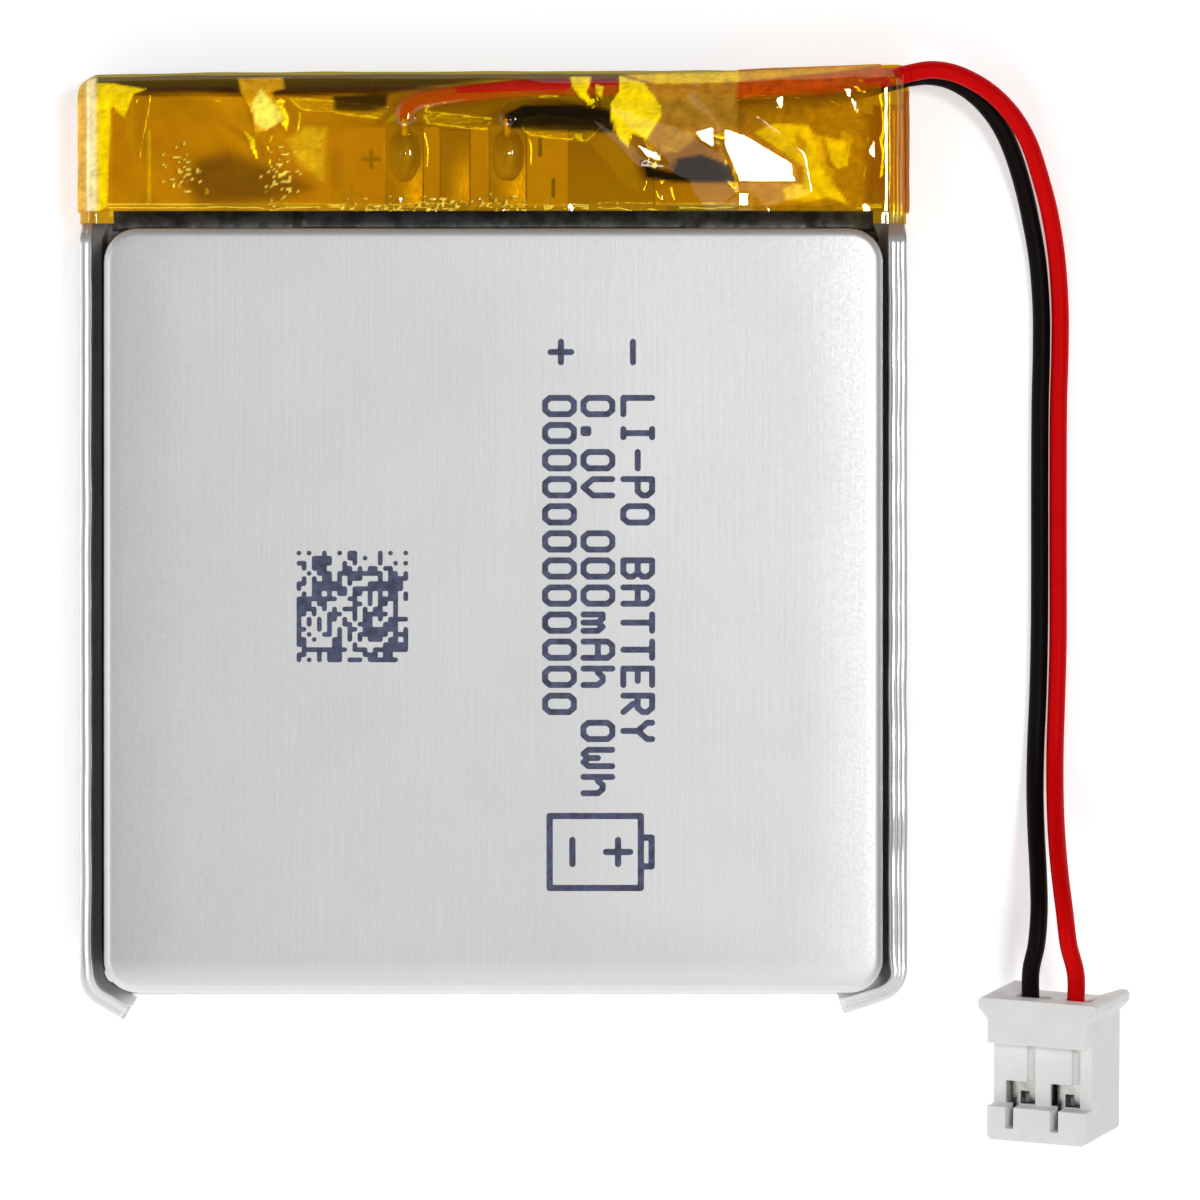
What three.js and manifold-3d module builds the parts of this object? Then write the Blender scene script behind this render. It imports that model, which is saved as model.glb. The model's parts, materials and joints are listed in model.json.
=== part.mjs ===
// A small lithium-polymer pouch cell with its protection board, amber tape wraps, two leads and a
// two-pole crimp connector. It lies on its flat back. Millimetres: +X is to the right across the
// width, +Y is towards the taped head where the tabs leave the pouch, +Z is up through the thickness.
// The origin is at the middle of the pack's footprint, on the surface that it lies on.
import * as THREE from "three";
import { mergeVertices } from "three/addons/utils/BufferGeometryUtils.js";
import Module from "manifold-3d";

const wasm = await Module();
wasm.setup();

// ---- Driving dimensions ------------------------------------------------------------------------
const GAP = 0.02; // between films and sheets that touch on the real pack

// Pouch: a deep-drawn cup and a flat cover, one aluminium-laminate sheet folded at the foot end.
const FILM = 0.12;
const CUP_HALF_WIDTH = 16.45;
const CUP_FOOT_Y = -19.08;
const CUP_HEAD_Y = 13.2;
const CUP_CORNER = 1.9;
const CORNER_STEPS = 6;
const FACE_Z = 4.5;
const TERRACE_END_Y = 17.9;
const TERRACE_LIFT = 0.24; // the sealed margin is joggled up, so that the tape lies flush
const TERRACE_HALF_WIDTH = 16.0;
const JOGGLE = [13.2, 13.9];
const FAR = 40; // the reach of a cutting box, well past the pack

// Side seams: the sealed side margins, folded up against the cup, with an ear at the foot.
const SEAM_OUTER_X = 17.14;
const SEAM_TOP_Z = 3.9;
const SEAM_TAPED = [1.25, 3.15]; // height range where the tape wraps round the seam
const SEAM_BEND_Y = -17.9;
const SEAM_BEND_RADIUS = 1.4;
const LEFT_EAR = { turn: Math.PI / 3, length: 1.2 };
const RIGHT_EAR = { turn: THREE.MathUtils.degToRad(72), length: 1.75 };
const SEAM_HEAD_Y = 18.2;

// Electrode roll: two electrodes and two separators, wound flat round the Y axis.
const ROLL = { halfFlat: 13.6, y0: -18.3, y1: 11.3, midZ: 2.36, startRadius: 0.12, turns: 2.5 };
const ELECTRODE = 0.17;
const SEPARATOR = 0.05;
const WINDING_GAP = 0.035;
const SEPARATOR_OVERHANG = 0.3; // how far the separators reach past the electrodes
const STOP_TAPE = { halfWidth: 5, y0: -13, y1: 6, z: 4.24, thickness: 0.05 };

// Tabs, each with a sealant film where it passes through the pouch's seal.
const TAB = { x: 10.8, width: 3, thickness: 0.1, sealZ: 0.53, foldY: 18.75, backZ: 1.0, endY: 14.2 };
const TAB_FILM = { width: 4.6, z0: 0.38, z1: 0.68, y0: 13.5, y1: 18.3 };

// Protection board and what is on it.
const BOARD = { x0: -7.43, x1: 7.3, y0: 13.75, y1: 17.4, z0: 2.75, z1: 3.55 };
const PAD_THICKNESS = 0.05;
const STRIP = { thickness: 0.15, outerX: 14.15, innerX: 6.75, y0: 13.95, y1: 17.3, lowX: 9.1 };
const STRIP_BEND = 0.5;
const FOAM = { halfWidth: 6.6, y: [14.1, 17.1], z: [0.94, 1.6] };
const STRIPPED = [15.7, 17.58]; // the bare end of a lead, along Y
const MOUND = { across: 0.68, along: 1.15, height: 0.5, y: 16.1 };
const SNUG = 0.03; // round a conductor or a lead that metal grips

// Insulating paper: flat on the terrace, and folded over the tabs at the head.
const PAPER = 0.08;
const TERRACE_PAPER = { halfWidth: 15.2, y: [13.95, 17.85], z: 0.88 };
const HEAD_PAPER = { halfWidth: 15.5, y0: 17.4, foldY: 18.99, z: 1.11, footZ: 0.4 };

// Leads and connector.
const WIRE = 0.74;
const CONDUCTOR = 0.34;
const WIRE_SIDES = 8;
const PITCH = 2;
const LEAD_SEAT = { back: -0.1, depth: 3.95 }; // where a lead ends inside the housing
const HOUSING = { halfWidth: 2.2, halfDepth: 2, height: 6, earX: 2.62, earZ: 5.58, chamferZ: 5.1 };
const RECESS = { z0: 1.42, z1: 4.1, depth: 0.75 };
const CAVITY = { halfWidth: 0.66, front: -0.8, back: 0.78 };
const WINDOW_Z = [1.45, 2.4];
const GROOVE = { fromPole: 0.28, z: [2.35, 4.02], depth: 0.28 };
const LIP_SLOT = { fromPole: [-0.39, -0.03], z: [0.52, 1.5] };
const FRONT_WALL = 0.3; // the slots start this far behind the front face
const SADDLE = { top: 2.3, floor: 1.3, depth: 0.34, wall: 0.75 };
const TERMINAL = { halfWidth: 0.56, z0: 1.1, z1: 2.9, wall: 0.12, entry: 0.2 };
const WIRE_BARREL = { diameter: 0.72, z0: 3.05, z1: 3.75 };
const INSULATION_BARREL = { diameter: 1.06, z0: 4.15, z1: 4.75 };
const CONNECTOR_AT = [23.4, -24.83, 2.65];
const CONNECTOR_TILT = THREE.MathUtils.degToRad(9.5);
const CONNECTOR_YAW = THREE.MathUtils.degToRad(23);

// Tape wraps, each a sock of film over the head.
const TAPE = 0.1;
const HEAD = { halfWidth: 17.4, top: 4.42, corner: 1.2, backTrimY: 14.05, backTrimZ: 0.235 };
const HEAD_END = [
  [17.4, 19.95],
  [10.2, 19.58],
  [-16.4, 19.45],
  [-17.4, 19.0],
];
const LEAD_WAY = { x: 16.4, y: 18.7, z: [1.95, 3.9] };

// ---- Materials ---------------------------------------------------------------------------------
const material = (color, roughness, metalness, extra = {}) =>
  new THREE.MeshStandardMaterial({ color, roughness, metalness, ...extra });
const MATERIALS = {
  laminate: material(0xd2d3d6, 0.38, 0.85),
  cathode: material(0x2e2f33, 0.8, 0),
  anode: material(0x1c1c1e, 0.85, 0),
  separator: material(0xf2f2ee, 0.7, 0),
  stopTape: material(0x3f8a5a, 0.5, 0),
  aluminium: material(0xc9cbcf, 0.35, 1),
  nickel: material(0xb9b4a8, 0.35, 1),
  sealant: material(0xe8e4da, 0.4, 0),
  paper: material(0xe2b878, 0.9, 0),
  foam: material(0x3a3a3c, 0.95, 0),
  board: material(0xac8450, 0.6, 0),
  package: material(0x1a1b1d, 0.5, 0),
  ceramic: material(0xb08a5a, 0.5, 0),
  solder: material(0xc4c6c8, 0.3, 1),
  copper: material(0xb87a45, 0.35, 1),
  amber: material(0xd68a08, 0.15, 0, { transparent: true, opacity: 0.6 }),
  red: material(0xc80a0c, 0.4, 0),
  black: material(0x141110, 0.4, 0),
  nylon: material(0xeceae6, 0.5, 0),
};

// ---- Geometry helpers --------------------------------------------------------------------------
// A closed mesh as a solid that can be joined and cut.
function solid(geometry) {
  const plain = geometry.index ? geometry.toNonIndexed() : geometry.clone();
  plain.deleteAttribute("normal");
  plain.deleteAttribute("uv");
  const merged = mergeVertices(plain, 1e-4);
  return new wasm.Manifold(
    new wasm.Mesh({
      numProp: 3,
      vertProperties: merged.attributes.position.array,
      triVerts: new Uint32Array(merged.index.array),
    }),
  );
}

// The solid's surface as a geometry.
function surface(made) {
  const { vertProperties, triVerts, numProp } = made.getMesh();
  const position = new Float32Array((vertProperties.length / numProp) * 3);
  for (let i = 0; i < position.length / 3; i++)
    for (let k = 0; k < 3; k++) position[3 * i + k] = vertProperties[i * numProp + k];
  const geometry = new THREE.BufferGeometry();
  geometry.setAttribute("position", new THREE.BufferAttribute(position, 3));
  geometry.setIndex([...triVerts]);
  const faceted = geometry.toNonIndexed();
  faceted.computeVertexNormals();
  return faceted;
}

// A box from its ranges along X, Y and Z.
function box([x0, x1], [y0, y1], [z0, z1]) {
  return new THREE.BoxGeometry(x1 - x0, y1 - y0, z1 - z0).translate(
    (x0 + x1) / 2,
    (y0 + y1) / 2,
    (z0 + z1) / 2,
  );
}

const solidBox = (...ranges) => solid(box(...ranges));

function extrude(shape, depth, curveSegments = 6) {
  return new THREE.ExtrudeGeometry(shape, { depth, bevelEnabled: false, curveSegments });
}

// A shape drawn in the XZ plane, extruded along Y from y0 to y1.
function alongY(shape, y0, y1, curveSegments) {
  return extrude(shape, y1 - y0, curveSegments).rotateX(Math.PI / 2).translate(0, y1, 0);
}

// A shape drawn in the YZ plane, extruded along X from x0 to x1.
function alongX(shape, x0, x1) {
  const turn = new THREE.Matrix4().makeBasis(
    new THREE.Vector3(0, 1, 0),
    new THREE.Vector3(0, 0, 1),
    new THREE.Vector3(1, 0, 0),
  );
  return extrude(shape, x1 - x0).applyMatrix4(turn).translate(x0, 0, 0);
}

// A shape drawn in the XY plane, extruded along Z from z0 to z1.
function alongZ(shape, z0, z1) {
  return extrude(shape, z1 - z0).translate(0, 0, z0);
}

function polygon(points) {
  return new THREE.Shape(points.map(([x, y]) => new THREE.Vector2(x, y)));
}

// The outline of a strip of even thickness that follows a centreline, with mitred corners.
function ribbon(points, thickness) {
  const line = points.map(([x, y]) => new THREE.Vector2(x, y));
  const normalOf = (a, b) => {
    const along = b.clone().sub(a).normalize();
    return new THREE.Vector2(-along.y, along.x);
  };
  const offsets = line.map((p, i) => {
    const before = i > 0 ? normalOf(line[i - 1], p) : normalOf(p, line[i + 1]);
    const after = i < line.length - 1 ? normalOf(p, line[i + 1]) : before;
    const mitre = before.clone().add(after).normalize();
    return mitre.multiplyScalar(thickness / 2 / mitre.dot(after));
  });
  const left = line.map((p, i) => p.clone().add(offsets[i]));
  const right = line.map((p, i) => p.clone().sub(offsets[i]));
  return new THREE.Shape([...right, ...left.reverse()]);
}

// A rectangle with round corners, centred on (cx, cy).
function roundedRectangle(width, height, radius, cx = 0, cy = 0) {
  const [x, y] = [width / 2 - radius, height / 2 - radius];
  const shape = new THREE.Shape();
  shape.absarc(cx + x, cy + y, radius, 0, Math.PI / 2);
  shape.absarc(cx - x, cy + y, radius, Math.PI / 2, Math.PI);
  shape.absarc(cx - x, cy - y, radius, Math.PI, 1.5 * Math.PI);
  shape.absarc(cx + x, cy - y, radius, 1.5 * Math.PI, 2 * Math.PI);
  shape.closePath();
  return shape;
}

// A round tube along a curve, closed at both ends.
function cable(points, diameter, steps) {
  const section = new THREE.Shape();
  for (let i = 0; i < WIRE_SIDES; i++) {
    const angle = (2 * Math.PI * (i + 0.5)) / WIRE_SIDES;
    const [x, y] = [(diameter / 2) * Math.cos(angle), (diameter / 2) * Math.sin(angle)];
    if (i === 0) section.moveTo(x, y);
    else section.lineTo(x, y);
  }
  const extrudePath = new THREE.CatmullRomCurve3(
    points.map((p) => new THREE.Vector3(...p)),
    false,
    "centripetal",
  );
  return new THREE.ExtrudeGeometry(section, { steps, extrudePath, bevelEnabled: false });
}

// A closed surface through a chain of rings with equal point counts, capped at both ends.
function ringChain(rings) {
  const count = rings[0].length;
  const position = rings.flat(2);
  const index = [];
  for (let r = 0; r + 1 < rings.length; r++)
    for (let i = 0; i < count; i++) {
      const j = (i + 1) % count;
      const [a, b, c, d] = [r * count + i, r * count + j, (r + 1) * count + i, (r + 1) * count + j];
      index.push(a, c, b, b, c, d);
    }
  const last = (rings.length - 1) * count;
  for (let i = 1; i + 1 < count; i++) {
    index.push(0, i, i + 1);
    index.push(last, last + i + 1, last + i);
  }
  const geometry = new THREE.BufferGeometry();
  geometry.setAttribute("position", new THREE.Float32BufferAttribute(position, 3));
  geometry.setIndex(index);
  return geometry.toNonIndexed();
}

// ---- Assembly helpers --------------------------------------------------------------------------
const pack = new THREE.Group();
const harness = new THREE.Group();

function add(name, geometry, look, group = pack) {
  geometry.computeVertexNormals();
  const mesh = new THREE.Mesh(geometry, look);
  mesh.name = name;
  group.add(mesh);
  return mesh;
}

const mirrored = (points) => points.map(([x, ...rest]) => [-x, ...rest]);
const side = (sign, a, b) => (sign > 0 ? [a, b] : [-b, -a]);

// ---- Pouch -------------------------------------------------------------------------------------
// One ring of the cup: its outline pulled in by inset, at height z.
function cupRing(inset, z) {
  const radius = Math.max(CUP_CORNER - inset, 0.5);
  const x = CUP_HALF_WIDTH - inset - radius;
  const head = CUP_HEAD_Y - inset - radius;
  const foot = CUP_FOOT_Y + inset + radius;
  const corners = [
    [x, head],
    [-x, head],
    [-x, foot],
    [x, foot],
  ];
  return corners.flatMap(([cx, cy], quarter) =>
    Array.from({ length: CORNER_STEPS + 1 }, (_, i) => {
      const angle = (Math.PI / 2) * (quarter + i / CORNER_STEPS);
      return [cx + radius * Math.cos(angle), cy + radius * Math.sin(angle), z];
    }),
  );
}

function addPouch() {
  const rim = FILM + GAP;
  // Each profile is a chain of insets from the outline and heights.
  const outer = [
    [0.95, FACE_Z],
    [0.66, FACE_Z - 0.05],
    [0.46, FACE_Z - 0.18],
    [0.36, FACE_Z - 0.4],
    [0.3, FACE_Z - 0.7],
    [0.15, rim + FILM],
    [0, rim + FILM],
    [0, rim],
  ];
  const inner = [
    [0.15 + FILM, rim],
    [0.3 + FILM, FACE_Z - 0.72],
    [0.37 + FILM, FACE_Z - 0.45],
    [0.5 + FILM, FACE_Z - 0.24],
    [0.7 + FILM, FACE_Z - FILM - 0.03],
    [0.95 + FILM, FACE_Z - FILM],
  ];
  const cup = solid(ringChain([...outer, ...inner].map(([inset, z]) => cupRing(inset, z))));
  const joggled = (z, y0) => [
    [y0, z],
    [JOGGLE[0], z],
    [JOGGLE[1], z + TERRACE_LIFT],
    [TERRACE_END_Y, z + TERRACE_LIFT],
  ];
  const margin = solid(
    alongX(
      ribbon(joggled(rim + FILM / 2, CUP_HEAD_Y - 0.05), FILM),
      -TERRACE_HALF_WIDTH,
      TERRACE_HALF_WIDTH,
    ),
  );
  // The film rises over each tab and its sealant.
  const half = TAB_FILM.width / 2;
  let terrace = margin;
  let channels = null;
  for (const sign of [-1, 1]) {
    const wall = FILM + GAP;
    const [x0, x1] = side(sign, TAB.x - half, TAB.x + half);
    const lid = TAB_FILM.z1 + GAP;
    const bump = solidBox(
      [x0 - wall, x1 + wall],
      [CUP_HEAD_Y - 0.1, TERRACE_END_Y],
      [rim + TERRACE_LIFT, lid + FILM],
    );
    const channel = solidBox(
      [x0 - GAP, x1 + GAP],
      [CUP_HEAD_Y - 1, TERRACE_END_Y + 1],
      [rim + FILM + GAP, lid],
    );
    terrace = terrace.add(bump);
    channels = channels ? channels.add(channel) : channel;
  }
  const floor = solidBox([-FAR, FAR], [JOGGLE[1], FAR], [-1, rim + TERRACE_LIFT]);
  const film = cup.add(terrace).subtract(channels).subtract(floor);
  add("pouch_cup_film", surface(film), MATERIALS.laminate);
  const cover = solid(
    alongX(ribbon(joggled(FILM / 2, CUP_FOOT_Y), FILM), -CUP_HALF_WIDTH, CUP_HALF_WIDTH),
  );
  // The cover's corners follow the cup's at the foot, and it narrows under the tape.
  const body = roundedRectangle(2 * CUP_HALF_WIDTH, FAR, CUP_CORNER, 0, CUP_FOOT_Y + FAR / 2);
  const besideTape = [-1, 1].map((sign) =>
    solidBox(side(sign, TERRACE_HALF_WIDTH, FAR), [CUP_HEAD_Y - 0.05, FAR], [-2, 2]),
  );
  const plan = solid(alongZ(body, -1, 1)).subtract(besideTape[0]).subtract(besideTape[1]);
  add("pouch_cover_film", surface(cover.intersect(plan)), MATERIALS.laminate);
}

// The seam's centreline in plan: straight down the side, round the foot corner, into the ear.
function seamLine(centreX, ear) {
  const line = [
    [-centreX, SEAM_HEAD_Y],
    [-centreX, SEAM_BEND_Y],
  ];
  const steps = 4;
  for (let i = 1; i <= steps; i++) {
    const angle = (ear.turn * i) / steps;
    line.push([
      -centreX + SEAM_BEND_RADIUS * (1 - Math.cos(angle)),
      SEAM_BEND_Y - SEAM_BEND_RADIUS * Math.sin(angle),
    ]);
  }
  const [x, y] = line.at(-1);
  line.push([x + ear.length * Math.sin(ear.turn), y - ear.length * Math.cos(ear.turn)]);
  return line;
}

function addSeam(name, sign, thickness, ear) {
  const line = seamLine(SEAM_OUTER_X - thickness / 2, ear);
  const plan = ribbon(sign < 0 ? line : mirrored(line), thickness);
  const strip = solid(alongZ(plan, FILM + GAP, SEAM_TOP_Z));
  const beyond = [CUP_HEAD_Y, FAR];
  const clearOfTape = solidBox([-FAR, FAR], beyond, [SEAM_TAPED[1], FAR]).add(
    solidBox([-FAR, FAR], beyond, [-1, SEAM_TAPED[0]]),
  );
  add(name, surface(strip.subtract(clearOfTape)), MATERIALS.laminate);
}

// ---- Electrode roll ----------------------------------------------------------------------------
// A flat spiral in XZ whose distance from the roll's middle starts at radius and grows with each turn.
function windingLine(radius, pitch, turns) {
  const halfTurnSteps = 8;
  const line = [];
  for (let k = 0; k <= Math.round(turns * 2 * halfTurnSteps); k++) {
    const angle = Math.PI / 2 - (Math.PI * k) / halfTurnSteps;
    const r = radius + (pitch * k) / (2 * halfTurnSteps);
    const centre = Math.cos(angle) > 1e-9 ? 1 : Math.cos(angle) < -1e-9 ? -1 : 0;
    const onFlat = centre === 0;
    const up = Math.sin(angle) > 0;
    // At the top and the foot of a turn the band crosses the whole flat stretch.
    const ends = onFlat ? (up ? [-1, 1] : [1, -1]) : [centre];
    const shown = k === 0 ? ends.slice(1) : ends;
    for (const end of shown)
      line.push([end * ROLL.halfFlat + r * Math.cos(angle), ROLL.midZ + r * Math.sin(angle)]);
  }
  return line;
}

function addRoll() {
  const layers = [
    ["inner_separator", SEPARATOR, MATERIALS.separator],
    ["anode_sheet", ELECTRODE, MATERIALS.anode],
    ["outer_separator", SEPARATOR, MATERIALS.separator],
    ["cathode_sheet", ELECTRODE, MATERIALS.cathode],
  ];
  const pitch = layers.reduce((sum, [, thickness]) => sum + thickness + WINDING_GAP, 0);
  let radius = ROLL.startRadius;
  for (const [name, thickness, look] of layers) {
    const line = windingLine(radius + thickness / 2, pitch, ROLL.turns);
    const overhang = thickness === SEPARATOR ? SEPARATOR_OVERHANG : 0;
    add(
      name,
      alongY(ribbon(line, thickness), ROLL.y0 - overhang / 2, ROLL.y1 + overhang),
      look,
    );
    radius += thickness + WINDING_GAP;
  }
}

function addRollTape() {
  const { halfWidth, y0, y1, z, thickness } = STOP_TAPE;
  const tape = box([-halfWidth, halfWidth], [y0, y1], [z, z + thickness]);
  add("roll_stop_tape", tape, MATERIALS.stopTape);
}

// ---- Tabs and their sealant --------------------------------------------------------------------
function addTab(name, filmName, sign, look) {
  const { sealZ, backZ, foldY, endY, thickness, width, x } = TAB;
  const fold = 0.15;
  const line = [
    [ROLL.y1 + 0.45, ROLL.midZ],
    [ROLL.y1 + 0.85, ROLL.midZ],
    [ROLL.y1 + 1.05, sealZ],
    [foldY - fold, sealZ],
    [foldY, sealZ + fold],
    [foldY, backZ - fold],
    [foldY - fold, backZ],
    [endY, backZ],
  ];
  const [x0, x1] = side(sign, x - width / 2, x + width / 2);
  add(name, alongX(ribbon(line, thickness), x0, x1), look);
  const [f0, f1] = side(sign, x - TAB_FILM.width / 2, x + TAB_FILM.width / 2);
  const sleeve = solidBox([f0, f1], [TAB_FILM.y0, TAB_FILM.y1], [TAB_FILM.z0, TAB_FILM.z1]);
  const hole = solidBox(
    [x0 - GAP, x1 + GAP],
    [TAB_FILM.y0 - 1, TAB_FILM.y1 + 1],
    [sealZ - thickness / 2 - GAP, sealZ + thickness / 2 + GAP],
  );
  add(filmName, surface(sleeve.subtract(hole)), MATERIALS.sealant);
}

// ---- Protection board --------------------------------------------------------------------------
function addNickelStrip(name, sign) {
  const { thickness, outerX, innerX, y0, y1, lowX } = STRIP;
  const low = TAB.backZ + TAB.thickness / 2 + GAP + thickness / 2;
  const high = BOARD.z1 + GAP + thickness / 2;
  const radius = STRIP_BEND;
  const steps = 3;
  const outer = outerX - thickness / 2;
  const line = [[lowX, low]];
  for (let i = 0; i <= steps; i++) {
    const a = (Math.PI / 2) * (i / steps);
    line.push([outer - radius + radius * Math.sin(a), low + radius - radius * Math.cos(a)]);
  }
  for (let i = 0; i <= steps; i++) {
    const a = (Math.PI / 2) * (i / steps);
    line.push([outer - radius + radius * Math.cos(a), high - radius + radius * Math.sin(a)]);
  }
  line.push([innerX, high]);
  const shape = ribbon(sign > 0 ? line : mirrored(line), thickness);
  add(name, alongY(shape, y0, y1), MATERIALS.nickel);
}

function addBoard() {
  const { x0, x1, y0, y1, z0, z1 } = BOARD;
  add("foam_pad", box([-FOAM.halfWidth, FOAM.halfWidth], FOAM.y, FOAM.z), MATERIALS.foam);
  add("protection_board", box([x0, x1], [y0, y1], [z0, z1]), MATERIALS.board);
  const under = z0 - GAP;
  const parts = [
    ["protection_ic", [-5.6, -2.7], [14.6, 16.2], 1.0, MATERIALS.package],
    ["mosfet_pair", [-1.6, 2.9], [14.0, 17.0], 0.95, MATERIALS.package],
    ["filter_resistor", [3.7, 4.2], [14.6, 15.6], 0.35, MATERIALS.package],
    ["sense_resistor", [4.7, 5.2], [14.6, 15.6], 0.35, MATERIALS.package],
    ["filter_capacitor", [5.7, 6.2], [14.6, 15.6], 0.5, MATERIALS.ceramic],
  ];
  for (const [name, x, y, height, look] of parts) add(name, box(x, y, [under - height, under]), look);
}

function addPaper() {
  const { halfWidth, y, z } = TERRACE_PAPER;
  const flat = box([-halfWidth, halfWidth], y, [z - PAPER / 2, z + PAPER / 2]);
  add("terrace_insulator", flat, MATERIALS.paper);
  const { y0, foldY, footZ } = HEAD_PAPER;
  const folded = ribbon(
    [
      [y0, HEAD_PAPER.z],
      [foldY, HEAD_PAPER.z],
      [foldY, footZ],
    ],
    PAPER,
  );
  const cover = alongX(folded, -HEAD_PAPER.halfWidth, HEAD_PAPER.halfWidth);
  add("head_insulator", cover, MATERIALS.paper);
}

// An output pad, with the lead's stripped end lying along it under a mound of solder.
function addOutput(pole, wireName, [x0, x1], leadX) {
  const [y0, y1] = [BOARD.y0 + 0.1, BOARD.y1 - 0.1];
  const low = BOARD.z1 + GAP;
  const top = low + PAD_THICKNESS;
  add(`${pole}_output_pad`, box([x0, x1], [y0, y1], [low, top]), MATERIALS.copper);
  const z = top + GAP + CONDUCTOR / 2;
  const core = (diameter, from, to) =>
    new THREE.CylinderGeometry(diameter / 2, diameter / 2, to - from, WIRE_SIDES).translate(
      leadX,
      (from + to) / 2,
      z,
    );
  add(`${wireName}_conductor_soldered`, core(CONDUCTOR, ...STRIPPED), MATERIALS.copper);
  const mound = solid(
    new THREE.SphereGeometry(1, 14, 8)
      .scale(MOUND.across, MOUND.along, MOUND.height)
      .translate(leadX, MOUND.y, top + GAP),
  );
  const above = solidBox([-FAR, FAR], [0, FAR], [top + GAP, FAR]);
  const start = STRIPPED[0] - 0.1;
  const reach = CONDUCTOR / 2 + SNUG;
  const groove = solid(core(2 * reach, start, FAR));
  const open = solidBox([leadX - reach, leadX + reach], [start, FAR], [top, z]);
  const joint = mound.intersect(above).subtract(groove.add(open));
  add(`${pole}_solder_joint`, surface(joint), MATERIALS.solder);
}

// ---- Tape wraps --------------------------------------------------------------------------------
// A sock of film over the head: round-edged across the width, slanted up over the leads at the right.
function sockCore(inset, footY, extra) {
  const { halfWidth, top, corner } = HEAD;
  const across = alongY(
    roundedRectangle(2 * (halfWidth - inset), top - 2 * inset, corner - inset, 0, top / 2),
    footY - extra,
    FAR,
    5,
  );
  const w = halfWidth - inset;
  const plan = alongZ(
    polygon([
      [-w, footY - extra],
      [w, footY - extra],
      ...HEAD_END.map(([x, y]) => [THREE.MathUtils.clamp(x, -w, w), y - inset]),
    ]),
    -1,
    HEAD.top + 1,
  );
  return solid(across).intersect(solid(plan));
}

function addTape(name, inset, footY) {
  const wrap = sockCore(inset, footY, 0).subtract(sockCore(inset + TAPE, footY, 1));
  const leadWay = solidBox([LEAD_WAY.x, FAR], [LEAD_WAY.y, FAR], LEAD_WAY.z);
  const backTrim = solidBox([-FAR, FAR], [0, HEAD.backTrimY], [-1, HEAD.backTrimZ]);
  add(name, surface(wrap.subtract(leadWay).subtract(backTrim)), MATERIALS.amber);
}

// ---- Leads -------------------------------------------------------------------------------------
// Held stretches: from the solder joints along the board's edge and out at the right corner.
const RED_HELD = [
  [-3.7, 17.6, 3.76],
  [-3.68, 17.95, 3.76],
  [-3.2, 18.32, 3.76],
  [-2.2, 18.5, 3.75],
  [-0.5, 18.7, 3.72],
  [1.4, 18.86, 3.7],
  [4.9, 18.9, 3.68],
  [8, 18.85, 3.62],
  [11, 18.85, 3.55],
  [14, 19.0, 3.45],
  [16.2, 19.28, 3.37],
  [17.05, 19.42, 3.33],
];
const BLACK_HELD = [
  [0.6, 17.6, 3.76],
  [0.68, 17.82, 3.68],
  [1.25, 18.02, 3.42],
  [2.5, 18.05, 3.2],
  [5, 18.05, 3.05],
  [8, 18.0, 2.95],
  [11, 18.05, 2.85],
  [14, 18.5, 2.7],
  [16.2, 19.05, 2.55],
  [17.05, 19.26, 2.48],
];

// Free stretches: out of the corner, down to the surface, along it, and up into the connector.
const RED_FREE = [
  [17.35, 19.5, 3.3],
  [18.23, 19.65, 3.2],
  [19.13, 19.55, 3.04],
  [20.02, 19.2, 2.8],
  [20.89, 18.64, 2.5],
  [21.73, 17.78, 2.14],
  [22.4, 16.67, 1.76],
  [22.95, 15.08, 1.32],
  [23.32, 13.7, 0.98],
  [23.62, 11.88, 0.64],
  [23.77, 9.8, 0.44],
  [23.77, 7.92, 0.4],
  [23.71, 5.83, 0.4],
  [23.69, 2.5, 0.4],
  [23.69, -0.83, 0.4],
  [23.69, -4.17, 0.4],
  [23.63, -6.6, 0.42],
  [23.56, -8.6, 0.6],
  [23.53, -10.6, 1.25],
  [23.56, -12.4, 2.3],
  [23.66, -14, 3.35],
  [23.82, -15.5, 4.1],
  [23.98, -16.9, 4.42],
];
const BLACK_FREE = [
  [17.35, 19.34, 2.44],
  [18.17, 19.42, 2.32],
  [19.02, 19.27, 2.16],
  [19.82, 18.87, 1.95],
  [20.55, 18.26, 1.7],
  [21.21, 17.4, 1.42],
  [21.74, 16.3, 1.12],
  [22.22, 14.8, 0.8],
  [22.53, 13.45, 0.6],
  [22.82, 11.8, 0.45],
  [22.98, 9.8, 0.4],
  [22.99, 7.9, 0.4],
  [22.94, 5.8, 0.4],
  [22.92, 2.5, 0.4],
  [22.92, -0.8, 0.4],
  [22.9, -4.2, 0.4],
  [22.84, -6.6, 0.41],
  [22.75, -8.6, 0.52],
  [22.7, -10.5, 1],
  [22.72, -12.3, 1.85],
  [22.77, -13.9, 2.75],
  [22.78, -15.5, 3.42],
  [22.66, -16.9, 3.66],
];

// ---- Connector ---------------------------------------------------------------------------------
// Its own frame: +X across the poles, -Y out of the front face with the windows, +Z from the
// mating end towards the leads.
const connector = new THREE.Group();
connector.rotation.x = -Math.PI / 2;
const leaning = new THREE.Group();
leaning.rotation.y = -CONNECTOR_YAW;
leaning.add(connector);
const placed = new THREE.Group();
placed.position.set(...CONNECTOR_AT);
placed.rotation.x = CONNECTOR_TILT;
placed.add(leaning);
harness.add(placed);
placed.updateMatrixWorld(true);

// A point of the connector's frame in the pack's frame.
function inPack(x, y, z) {
  return connector.localToWorld(new THREE.Vector3(x, y, z)).toArray();
}

// The last points of a lead, straight into its cavity.
function leadEnd(x) {
  const { back, depth } = LEAD_SEAT;
  return [HOUSING.height + 0.9, HOUSING.height - 0.6, depth].map((z) => inPack(x, back, z));
}

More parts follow.
